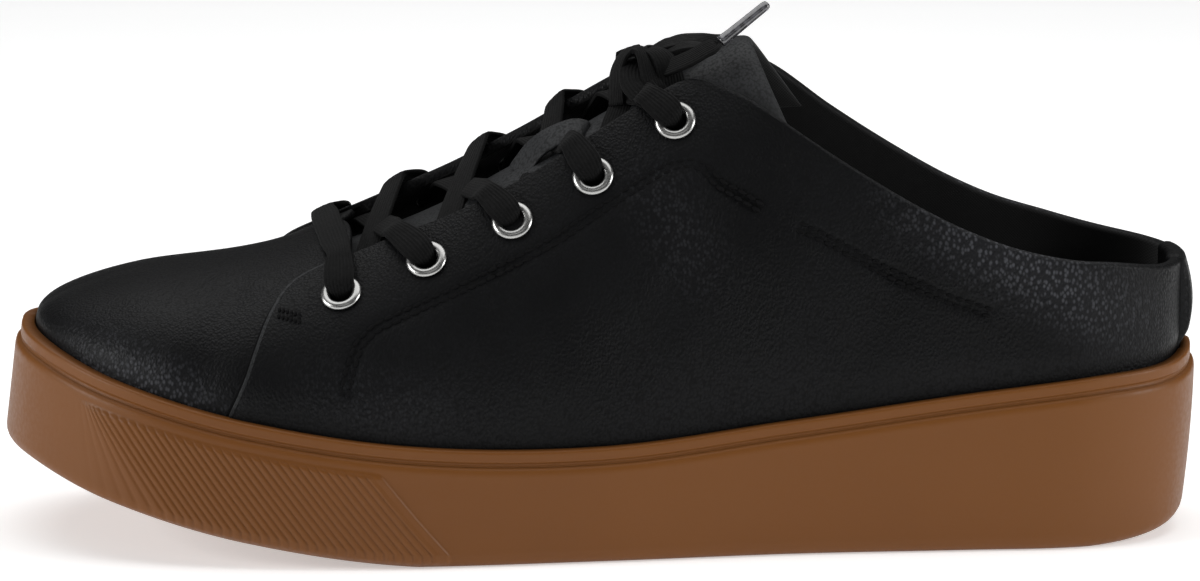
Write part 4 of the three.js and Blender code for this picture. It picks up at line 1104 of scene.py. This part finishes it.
def eyelet_rings(count):
    """For each eyelet its centre, the way it faces, and directions all round it."""
    angles = np.linspace(0, 2 * np.pi, count, endpoint=False)[:, None]
    for side in (LATERAL, MEDIAL):
        for i, turn in enumerate(EYELETS["turn"]):
            rise = eyelet_rise(side, i)
            facing = last_normal(side, turn, rise)
            along = unit(last_point(side, turn + 0.004, rise) - last_point(side, turn - 0.004, rise))
            along = unit(along - facing * (along @ facing))
            around = along * np.cos(angles) + np.cross(facing, along) * np.sin(angles)
            yield surface(side, turn, rise, QUARTER_STEP), facing, around


def add_eyelets(metal):
    radius, height = np.array([*EYELET_PROFILE, EYELET_PROFILE[0]]).T
    groups = []
    for centre, facing, around in eyelet_rings(48):
        ring = centre + around[:, None] * radius[None, :, None] + facing * height[None, :, None]
        groups.append((ring, grid_faces(*ring.shape[:2], around=True).tolist()))
    points, faces, _ = joined(groups)
    piece = add_mesh("eyelet_rings", points, faces, [metal])
    names = [f"eyelet_{side}_{i + 1}" for side in ("lateral", "medial") for i in range(5)]
    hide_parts(*names)
    return piece


# Lace

LACE_SECTION = 28
LACE_RIBS = 4
ACROSS_STEPS = 84
SPLINE_STEPS = 24


def lace_section():
    """Half-width and half-thickness shares round a flat lace's section."""
    angle = np.linspace(0, 2 * np.pi, LACE_SECTION, endpoint=False)
    x = np.sign(np.cos(angle)) * np.abs(np.cos(angle)) ** 0.75
    z = np.sign(np.sin(angle)) * np.abs(np.sin(angle)) ** 0.45
    return x, z


def band_group(path, facing, width, thick, flute=0.05, cup=0.0):
    """Points, faces and UV of a flat band along a path. cup bends its edges down, a share of its width."""
    count = len(path)
    width, cup = np.broadcast_to(width, count), np.broadcast_to(cup, count)
    along = unit(np.gradient(path, axis=0))
    facing = unit(facing - along * (facing * along).sum(1, keepdims=True))
    across = np.cross(facing, along)
    x, z = lace_section()
    wave = flute * np.cos(x * np.pi * LACE_RIBS) * (1 - np.abs(x) ** 4)
    lift = z * thick / 2 + wave * thick / 2 * np.where(z >= 0, 1, -1)
    bend = cup[:, None] * width[:, None] * x[None, :] ** 2
    offset = lift[None, :] - bend
    points = (
        path[:, None] + across[:, None] * (x[None, :] * width[:, None] / 2)[..., None]
        + facing[:, None] * offset[..., None]
    )
    closed = np.concatenate([points, points[:, :1]], axis=1)
    size = LACE_SECTION + 1
    faces = grid_faces(count, size)[:, ::-1].tolist()
    ends = [list(range(LACE_SECTION)), [(count - 1) * size + i for i in range(LACE_SECTION)][::-1]]
    travel = np.concatenate([[0], np.cumsum(np.linalg.norm(np.diff(path, axis=0), axis=1))])
    v = np.append(x, x[0])
    uv = np.stack(np.broadcast_arrays(travel[:, None], v[None, :]), -1)
    return closed, faces + ends, uv


def spline(points, count):
    """Smooth points through a few given ones, evenly spaced."""
    points = np.asarray(points, float)
    padded = np.concatenate([[2 * points[0] - points[1]], points, [2 * points[-1] - points[-2]]])
    fine = []
    for i in range(len(points) - 1):
        a, b, c, d = padded[i : i + 4]
        t = np.linspace(0, 1, SPLINE_STEPS, endpoint=False)[:, None]
        fine.append(
            0.5 * (2 * b + (c - a) * t + (2 * a - 5 * b + 4 * c - d) * t**2 + (3 * b - a - 3 * c + d) * t**3)
        )
    fine = np.concatenate([*fine, points[-1:]])
    travel = np.concatenate([[0], np.cumsum(np.linalg.norm(np.diff(fine, axis=0), axis=1))])
    at = np.linspace(0, travel[-1], count)
    return np.stack([np.interp(at, travel, fine[:, k]) for k in range(fine.shape[1])], 1)


def over_throat(across, turn, level):
    """Place over the throat, and the way it faces: across is 0 on the crest and 1 at the rim."""
    side = np.where(np.asarray(across) < 0, LATERAL, MEDIAL)
    rise = 1 - np.abs(across)
    return surface(side, turn, rise, level), outward(side, turn, rise)


def across_of(side, i):
    return side * (1 - eyelet_rise(side, i))


LACE_HIGH = QUARTER_STEP + 2 * FIT + FLANGE_THICK + LACE_THICK / 2
EDGE_HIGH = LACE_HIGH - 0.35  # where it comes over the quarter's edge
UNDER_LEATHER = -LEATHER - LACE_THICK / 2 - 0.1
# How much nearer to the toe than its eyelet a run crosses the edge, as a turn
LANDING_LEAD = {LATERAL: (0.018, 0.014, 0.011, 0.015), MEDIAL: (0.018, 0.016, 0.017, 0.016)}
BAR_LEAD = ((LATERAL, 0.002), (MEDIAL, 0.014))
RUN_WIDTH = 6.0
RUN_TILT = 1.1  # how far a run that lands on the lateral side turns outwards
LANDED_WIDTH = 7.1
HOLE_WIDTH = 4.9


def edge_across(side, turn):
    return side * (1 - sided(TOPLINE, side, turn))


def throat_line(rows, count):
    """Smooth path through rows of a point with its facing, a width and a cup."""
    fine = spline([(*at, *facing, width, cup) for (at, facing), width, cup in rows], count)
    return fine[:, :3], unit(fine[:, 3:6]), fine[:, 6], fine[:, 7]


def chord(begin, end, shares, bow, tilt=0.0):
    """Places on the straight line between two places over the throat, bowed by a height."""
    made = []
    for t in shares:
        facing = unit(mix(begin[1], end[1], t) + np.array((0.0, -tilt * t, 0.0)))
        made.append((mix(begin[0], end[0], t) + facing * bow * math.sin(math.pi * t), facing))
    return made


def landing_rows(side, i, edge):
    """From the quarter's edge over the leather and down into an eyelet."""
    target, turn = across_of(side, i), EYELETS["turn"][i]
    rows = [(over_throat(*edge, EDGE_HIGH), LANDED_WIDTH - 1.5, 0.02)]
    for u, level, width, cup in (
        (0.3, LACE_HIGH - 0.1, LANDED_WIDTH - 0.6, 0.02), (0.62, LACE_HIGH + 0.15, LANDED_WIDTH, 0.03),
        (0.86, LACE_HIGH + 0.1, LANDED_WIDTH - 0.4, 0.06), (0.985, LACE_HIGH - 0.75, HOLE_WIDTH + 1.0, 0.16),
    ):
        place = over_throat(mix(edge[0], target, u), mix(edge[1], turn, u), level)
        rows.append((place, width, cup))
    for u, level in ((1.02, -0.6), (1.025, -LEATHER - 1.2)):
        place = over_throat(mix(edge[0], target, u), mix(edge[1], turn, u), level)
        rows.append((place, HOLE_WIDTH, 0.24))
    return rows


def lace_run(side, start, end, bow):
    """From an eyelet's hole, under the quarter, over the throat and into an eyelet on the other side."""
    origin, target = across_of(side, start), across_of(-side, end)
    turn0, turn1 = EYELETS["turn"][start], EYELETS["turn"][end]
    share = (edge_across(side, turn0) - origin) / (target - origin)
    turn_leave = mix(turn0, turn1, share)
    leave = edge_across(side, turn_leave)
    turn_land = turn1 + LANDING_LEAD[-side][start]
    rows = [(over_throat(origin, turn0, -LEATHER - 0.4), HOLE_WIDTH, 0.1)]
    for u in (0.25, 0.6, 0.9):
        place = over_throat(mix(origin, leave, u), mix(turn0, turn_leave, u), UNDER_LEATHER)
        rows.append((place, RUN_WIDTH - 0.4, 0.0))
    begin = over_throat(leave * 0.985, turn_leave, UNDER_LEATHER - 0.1)
    edge = edge_across(-side, turn_land), turn_land
    landing = over_throat(*edge, EDGE_HIGH)
    for place in chord(begin, landing, (0.12, 0.3, 0.5, 0.7, 0.88), bow, RUN_TILT if side > 0 else 0.0):
        rows.append((place, RUN_WIDTH, 0.0))
    rows += landing_rows(-side, end, edge)
    return throat_line(rows, ACROSS_STEPS)


def lace_bar():
    """Straight bar between the two front eyelets. It leans to the toe on its way up."""
    turn = EYELETS["turn"][0]
    edges = [(edge_across(side, turn), turn + lead) for side, lead in BAR_LEAD]
    near, far = [over_throat(*edge, EDGE_HIGH) for edge in edges]
    rows = landing_rows(LATERAL, 0, edges[0])[::-1]
    rows += [(place, LANDED_WIDTH - 0.5, 0.0) for place in chord(near, far, (0.2, 0.4, 0.6, 0.8), 1.0)]
    rows += landing_rows(MEDIAL, 0, edges[1])
    return throat_line(rows, ACROSS_STEPS + 10)


def add_band(name, groups, material, nodes):
    points, faces, uv = joined(groups)
    piece = add_mesh(name, points, faces, [material], uv=uv)
    if nodes:
        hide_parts(*nodes)
    return piece


PRESSED = (0.0, 0.0, 2.4, 0.6)  # how far each crossing is pressed down on the tongue


def add_lacing(material):
    lines = [("lace_bar_dressed", "lace_bar", [lace_bar()])]
    for i, pressed in enumerate(PRESSED):
        runs = [lace_run(side, i, i + 1, bow - pressed) for side, bow in ((MEDIAL, -0.5), (LATERAL, 0.5))]
        lines.append((f"lace_crossing_{i + 1}", f"lace_cross_{i + 1}", runs))
    pieces = []
    for name, node, runs in lines:
        groups = [band_group(path, facing, width, LACE_THICK, cup=cup) for path, facing, width, cup in runs]
        pieces.append(add_band(name, groups, material, [node]))
    return pieces


KEEPER_ROUTE = [
    (155.9, -8.6, 83.0), (154.4, -8.8, 85.4), (152.5, -9.3, 88.2), (150.0, -9.8, 90.5), (146.8, -10.0, 92.2),
    (143.6, -10.0, 93.3), (141.6, -9.8, 93.2), (140.4, -9.4, 92.2),
]
KEEPER_FACING = (-0.2, -0.5, 0.84)


def add_keeper(leather):
    """Leather loop along the tongue; the stitches that hold its ends down are not drawn."""
    path = spline(route_points(KEEPER_ROUTE), 60)
    facing = np.tile(KEEPER_FACING, (len(path), 1))
    band = band_group(path, facing, KEEPER_WIDTH, KEEPER_THICK, flute=0.0)
    return add_band("keeper_loop", [band], leather, ["lace_keeper"])


def route_points(route):
    return to_point(*np.array(route, float).T)


# Bands of lace that make the knot: places with the way the flat side faces, and the width
KNOT_FOLD = [
    ((133.3, -7.5, 98.5), (-0.8, -0.6, 0.1)), ((133.4, -6.5, 102.1), (-0.85, -0.5, 0.15)),
    ((133.4, -5.3, 105.0), (-0.9, -0.4, 0.3)), ((132.7, -4.5, 107.5), (-0.8, -0.25, 0.55)),
    ((131.3, -4.0, 109.7), (-0.5, -0.1, 0.85)), ((129.2, -4.2, 110.8), (0.0, -0.05, 1.0)),
    ((127.3, -5.7, 110.3), (0.45, -0.3, 0.85)), ((126.7, -7.6, 109.0), (0.6, -0.55, 0.55)),
    ((126.2, -9.3, 107.3), (0.6, -0.7, 0.4)), ((125.5, -11.0, 105.2), (0.5, -0.75, 0.4)),
    ((124.6, -12.4, 103.1), (0.4, -0.8, 0.45)), ((124.0, -13.0, 101.5), (0.4, -0.8, 0.4)),
]
KNOT_WRAP = [
    ((127.5, -2.0, 109.4), (0.0, -0.1, 1.0)), ((125.4, -3.6, 110.3), (0.15, -0.25, 0.95)),
    ((123.6, -6.0, 109.8), (0.4, -0.6, 0.7)), ((122.2, -8.2, 108.0), (0.4, -0.8, 0.45)),
    ((121.4, -9.6, 105.8), (0.3, -0.9, 0.3)), ((120.8, -10.8, 102.8), (0.2, -0.9, 0.3)),
    ((120.6, -11.4, 100.6), (0.2, -0.9, 0.3)),
]
KNOT_TAIL = [
    ((128.6, -5.0, 107.5), (-0.1, -0.9, 0.4)), ((129.4, -8.6, 106.0), (-0.1, -0.85, 0.5)),
    ((129.2, -11.8, 104.2), (-0.1, -0.75, 0.65)), ((127.6, -14.4, 102.4), (0.0, -0.7, 0.7)),
    ((125.4, -16.4, 100.6), (0.0, -0.7, 0.7)),
]
KNOT_BACK = [
    ((131.0, 3.0, 104.6), (0.4, 0.3, 0.8)), ((129.8, 2.4, 106.6), (0.3, 0.1, 0.95)),
    ((127.4, 1.2, 108.0), (0.0, 0.0, 1.0)), ((124.6, 0.6, 108.2), (-0.2, 0.0, 1.0)),
    ((122.0, 0.4, 107.0), (-0.4, 0.1, 0.9)),
]
KNOT_THICK = LACE_THICK * 1.1
KNOT_BANDS = [(KNOT_FOLD, 5.6), (KNOT_WRAP, 6.2), (KNOT_TAIL, 7.2), (KNOT_BACK, 6.0)]


def add_knot(material):
    groups = []
    for route, width in KNOT_BANDS:
        places = zip(route_points([at for at, _ in route]), unit(np.array([facing for _, facing in route])))
        rows = [(place, width, 0.0) for place in places]
        path, facing, widths, cup = throat_line(rows, 40)
        groups.append(band_group(path, facing, widths, KNOT_THICK, flute=0.06, cup=cup))
    return add_band("knot_dressed", groups, material, ["lace_knot"])


def add_cord(name, points, facings, material, node, with_pieces):
    """Free length of lace from the knot, narrowed where it runs into an aglet."""
    count = 70
    path = spline(points, count)
    facing = spline(facings, count)
    travel = np.linalg.norm(np.diff(path, axis=0), axis=1).sum()
    width = np.full(count, LACE_WIDTH)
    if with_pieces:
        inside = ease((np.linspace(1, 0, count) * travel - AGLET_LENGTH) / 3.0)
        width = mix(AGLET_RADIUS * 1.3, LACE_WIDTH, inside)
    piece = add_band(name, [band_group(path, facing, width, LACE_THICK)], material, [node])
    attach(piece, "root")
    return piece


def add_aglet(name, start, end, material, node):
    """Film sleeve with a flared mouth and a rounded tip."""
    along = unit(end - start)
    side = unit(np.cross(along, (0.0, 0.0, 1.0)))
    other = np.cross(along, side)
    profile = [
        (0.0, 0.3), (1.22, 0.3), (1.38, 0.5), (1.34, 1.2), (1.24, 3.0), (1.2, 8.0), (1.18, 12.6),
        (1.12, 13.6), (0.9, 14.1), (0.5, 14.3), (0.0, 14.3),
    ]
    angles = np.linspace(0, 2 * np.pi, 24, endpoint=False)
    rings = [
        start + along * h + (side * np.cos(angles)[:, None] + other * np.sin(angles)[:, None]) * r
        * (1 + 0.08 * np.cos(3 * angles))[:, None] for r, h in profile
    ]
    grid = np.stack(rings, 1)
    piece = add_mesh(name, grid, grid_faces(len(angles), len(profile), around=True), [material])
    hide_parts(node)
    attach(piece, "root")
    return piece


def add_free_lace(lace, film):
    laid, facing = over_throat(*np.array(MEDIAL_END_ROUTE).T)
    ends = [
        ("lateral", route_points(LATERAL_END_ROUTE), route_points(LATERAL_AGLET), [LATERAL_END_FACING]),
        ("medial", laid, over_throat(*np.array(MEDIAL_AGLET).T)[0], facing),
    ]
    for side, route, (start, end), facings in ends:
        aglet = add_aglet(f"aglet_{side}_film", start, end, film, f"aglet_{side}")
        points = np.concatenate([route, [start, start + unit(end - start) * AGLET_LENGTH]])
        facings = np.concatenate([facings, np.tile(facings[-1], (len(points) - len(facings), 1))])
        name = f"lace_end_{side}"
        add_cord(f"{name}_dressed", points, facings, lace, name, [aglet])

    points = route_points(LOOP_ROUTE)
    tangent = unit(np.gradient(points, axis=0))
    facings = unit(np.cross(tangent, (0.0, 1.0, 0.0)))
    add_cord("lace_loop_dressed", points, facings, lace, "lace_loop", [])


# Stitches: pitch, length and thickness

SEAM_STITCH = (2.3, 2.25, 0.95)
TACK_STITCH = (0.95, 1.5, 0.8)
TACK_ROWS = 6
TACK_HALF = 0.95  # half the length of a row
# Where each bartack starts and ends, as turn and rise
TACKS = [(LATERAL, (0.683, 0.455), (0.670, 0.42)), (MEDIAL, (0.683, 0.535), (0.670, 0.5))]


def stitch_tree(material):
    """Nodes that lay stitches along edges. Inputs: Pitch, Length and Thickness, in metres."""
    tree = bpy.data.node_groups.new("stitch_rows", "GeometryNodeTree")
    tree.interface.new_socket(name="Geometry", in_out="INPUT", socket_type="NodeSocketGeometry")
    for name, value in (("Pitch", 0.0024), ("Length", 0.0019), ("Thickness", 0.0005)):
        socket = tree.interface.new_socket(name=name, in_out="INPUT", socket_type="NodeSocketFloat")
        socket.default_value = value
    tree.interface.new_socket(name="Geometry", in_out="OUTPUT", socket_type="NodeSocketGeometry")
    given, result = tree.nodes.new("NodeGroupInput"), tree.nodes.new("NodeGroupOutput")
    curve = tree.nodes.new("GeometryNodeMeshToCurve")
    tree.links.new(given.outputs["Geometry"], curve.inputs["Mesh"])
    even = tree.nodes.new("GeometryNodeResampleCurve")
    even.mode = "LENGTH"
    tree.links.new(curve.outputs["Curve"], even.inputs["Curve"])
    tree.links.new(given.outputs["Pitch"], even.inputs["Length"])
    tangent = tree.nodes.new("GeometryNodeInputTangent")
    turned = tree.nodes.new("FunctionNodeAlignRotationToVector")
    turned.axis = "X"
    tree.links.new(tangent.outputs["Tangent"], turned.inputs["Vector"])
    ball = tree.nodes.new("GeometryNodeMeshUVSphere")
    ball.inputs["Segments"].default_value = 8
    ball.inputs["Rings"].default_value = 6
    ball.inputs["Radius"].default_value = 0.5
    size = tree.nodes.new("ShaderNodeCombineXYZ")
    tree.links.new(given.outputs["Length"], size.inputs["X"])
    tree.links.new(given.outputs["Thickness"], size.inputs["Y"])
    tree.links.new(given.outputs["Thickness"], size.inputs["Z"])
    scatter = tree.nodes.new("GeometryNodeInstanceOnPoints")
    tree.links.new(even.outputs["Curve"], scatter.inputs["Points"])
    tree.links.new(ball.outputs["Mesh"], scatter.inputs["Instance"])
    tree.links.new(turned.outputs["Rotation"], scatter.inputs["Rotation"])
    tree.links.new(size.outputs["Vector"], scatter.inputs["Scale"])
    real = tree.nodes.new("GeometryNodeRealizeInstances")
    tree.links.new(scatter.outputs["Instances"], real.inputs["Geometry"])
    dyed = tree.nodes.new("GeometryNodeSetMaterial")
    dyed.inputs["Material"].default_value = material
    tree.links.new(real.outputs["Geometry"], dyed.inputs["Geometry"])
    tree.links.new(dyed.outputs["Geometry"], result.inputs["Geometry"])
    return tree


def stitched(name, lines, tree, material, pitch, length, thickness):
    """Stitches along several lines, as one plain mesh."""
    points, edges = [], []
    for line in lines:
        start = len(points)
        points += (np.asarray(line) * MM).tolist()
        edges += [(start + i, start + i + 1) for i in range(len(line) - 1)]
    mesh = bpy.data.meshes.new(name)
    mesh.from_pydata(points, edges, [])
    guide = add_object(name, mesh)
    modifier = guide.modifiers.new("stitches", "NODES")
    modifier.node_group = tree
    sockets = {item.name: item.identifier for item in tree.interface.items_tree if item.in_out == "INPUT"}
    for key, value in (("Pitch", pitch), ("Length", length), ("Thickness", thickness)):
        modifier[sockets[key]] = value * MM
    modified_mesh(guide)
    made = guide.data
    made.name = name
    if not made.materials:
        made.materials.append(material)
    made.polygons.foreach_set("use_smooth", [True] * len(made.polygons))
    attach(guide, "root")


def seam_rows():
    """Lines of the rows of stitches, a little over the leather."""
    rows, pulled = [], []
    for side in (LATERAL, MEDIAL):
        for route in (EYESTAY_SEAM, COLLAR_SEAM):
            for shift in (-SEAM_APART / 2, SEAM_APART / 2):
                line = seam_line(route, side, QUARTER_STEP - 0.22, shift)
                rows.append(line)
                pulled.append(line[::4])
    return rows, pulled


def bartack_rows():
    """Short thick rows side by side that lock the quarters' corners."""
    lines = []
    for side, begin, end in TACKS:
        for t in np.linspace(0, 1, TACK_ROWS):
            turn, rise = mix(begin[0], end[0], t), mix(begin[1], end[1], t)
            centre = surface(side, turn, rise, QUARTER_STEP + 0.05)
            up = unit(last_point(side, turn, rise + 0.01) - last_point(side, turn, rise - 0.01))
            lines.append([centre - up * TACK_HALF, centre, centre + up * TACK_HALF])
    return lines


def add_stitches(thread, rows):
    tree = stitch_tree(thread)
    stitched("seam_stitches", rows, tree, thread, *SEAM_STITCH)
    stitched("corner_bartacks", bartack_rows(), tree, thread, *TACK_STITCH)


# Studio

FLOOR_REACH = 6.0
WORLD_LIGHT = 0.06  # what the white world gives as light, and what the camera sees of it
WORLD_SEEN = 1.05
# Soft boxes: name, place, aim, width, height and watts
SOFT_BOXES = [
    ("top_box", (0.05, 0.25, 1.2), (0, 0, 0), 1.8, 1.4, 12.5),
    ("front_box", (-0.25, -1.2, 1.0), (0, 0, 0.03), 0.9, 0.4, 0.7),
    ("heel_box", (1.0, -0.35, 0.4), (0, 0, 0.05), 0.5, 0.4, 5.4),
    ("toe_box", (-1.0, -0.3, 0.4), (0, 0, 0.04), 0.5, 0.4, 5.4),
]


def aim(thing, target):
    thing.rotation_mode = "QUATERNION"
    direction = Vector(target) - Vector(thing.location)
    thing.rotation_quaternion = direction.to_track_quat("-Z", "Y")


def add_camera():
    data = bpy.data.cameras.new("camera")
    data.sensor_width = SENSOR_MM
    data.lens = FOCAL_PIXELS / PHOTO_WIDTH * SENSOR_MM
    camera = add_object("camera", data)
    camera.location = CAMERA_PLACE
    aim(camera, CAMERA_AIM)
    bpy.context.scene.camera = camera


def add_softbox(name, place, target, width, height, watts):
    data = bpy.data.lights.new(name, "AREA")
    data.shape, data.size, data.size_y = "RECTANGLE", width, height
    data.energy = watts
    light = add_object(name, data)
    light.location = place
    aim(light, target)


def add_studio():
    """Plain pale floor, white backdrop, and soft light from above and from both ends."""
    floor = bpy.data.meshes.new("studio_floor")
    corners = [(x * FLOOR_REACH, y * FLOOR_REACH, 0) for x, y in ((-1, -1), (1, -1), (1, 1), (-1, 1))]
    floor.from_pydata(corners, [], [(0, 1, 2, 3)])
    floor.materials.append(floor_material())
    piece = add_object("studio_floor", floor)
    piece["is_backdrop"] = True
    for box in SOFT_BOXES:
        add_softbox(*box)
    world = bpy.data.worlds.new("studio_world")
    world.use_nodes = True
    tree = world.node_tree
    back = tree.nodes["Background"]
    back.inputs["Color"].default_value = (1, 1, 1, 1)
    back.inputs["Strength"].default_value = WORLD_LIGHT
    bright = add_node(tree, "ShaderNodeBackground", Color=(1, 1, 1, 1), Strength=WORLD_SEEN)
    seen = tree.nodes.new("ShaderNodeLightPath")
    both = tree.nodes.new("ShaderNodeMixShader")
    tree.links.new(seen.outputs["Is Camera Ray"], both.inputs["Fac"])
    tree.links.new(back.outputs[0], both.inputs[1])
    tree.links.new(bright.outputs[0], both.inputs[2])
    tree.links.new(both.outputs[0], tree.nodes["World Output"].inputs["Surface"])
    bpy.context.scene.world = world
    bpy.context.scene.view_settings.view_transform = "Standard"


def cut_eyelet_holes(quarters):
    """Holes through the quarters, filled by the eyelets' barrels."""
    groups = []
    sides = 32
    for centre, facing, around in eyelet_rings(sides):
        ring = centre + around * HOLE_CUT
        faces = grid_faces(sides, 2, around=True).tolist()
        faces += [[2 * i for i in range(sides)], [2 * i + 1 for i in range(sides)][::-1]]
        groups.append((np.stack([ring - facing * CUT_IN, ring + facing * CUT_OUT], 1), faces))
    points, faces, _ = joined(groups)
    cutter = add_mesh("eyelet_cutter", points, faces, [quarters.data.materials[0]])
    modifier = quarters.modifiers.new("holes", "BOOLEAN")
    modifier.operation, modifier.object, modifier.solver = "DIFFERENCE", cutter, "FAST"
    modified_mesh(quarters)
    bpy.data.objects.remove(cutter)


def build():
    add_camera()
    grain = pebble_grain_group()
    # The black leather's last colour is a painted highlight (glints) laid on the pebble tops.
    black = leather_material(
        "black_leather_dressed", grain, (0.0022, 0.0023, 0.0027), (0.004, 0.0042, 0.0048), 0.42, 0.16, 0.14,
        (0.075, 0.077, 0.086),
    )
    grey = leather_material(
        "grey_leather_dressed", grain, (0.018, 0.019, 0.02), (0.025, 0.026, 0.028), 0.5, 0.04, 0.22,
    )
    lining = cloth_material("lining_dressed", (0.006, 0.006, 0.006), 9000.0, 0.05)
    cover = cloth_material("insole_cloth_dressed", (0.012, 0.012, 0.0125), 6000.0, 0.08)
    lace = lace_material(woven_lace_group())
    thread = thread_material()

    add_free_lace(lace, aglet_material())
    pieces = [add_sole(gum_material()), add_footbed(cover)]
    rows, pulled = seam_rows()
    quarters = add_quarters(black, lining, pulled)
    cut_eyelet_holes(quarters)
    upper = [quarters, add_vamp(black, lining), add_heel_strip(black)]
    for piece in upper:
        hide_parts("upper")
    pieces += upper
    pieces += [add_tongue(grey, lining), add_eyelets(metal_material()), add_keeper(grey), add_knot(lace)]
    pieces += add_lacing(lace)
    for piece in pieces:
        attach(piece, "root")
    add_stitches(thread, rows)
    # Painted highlight and painted shadow along the quarters' front edges.
    add_edge_highlight_and_shadow(grey, thread)
    add_studio()


build()
boxes = {"cad": CAD_BOX, "visual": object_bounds()}
{name: [list(corner) for corner in box] for name, box in boxes.items()}
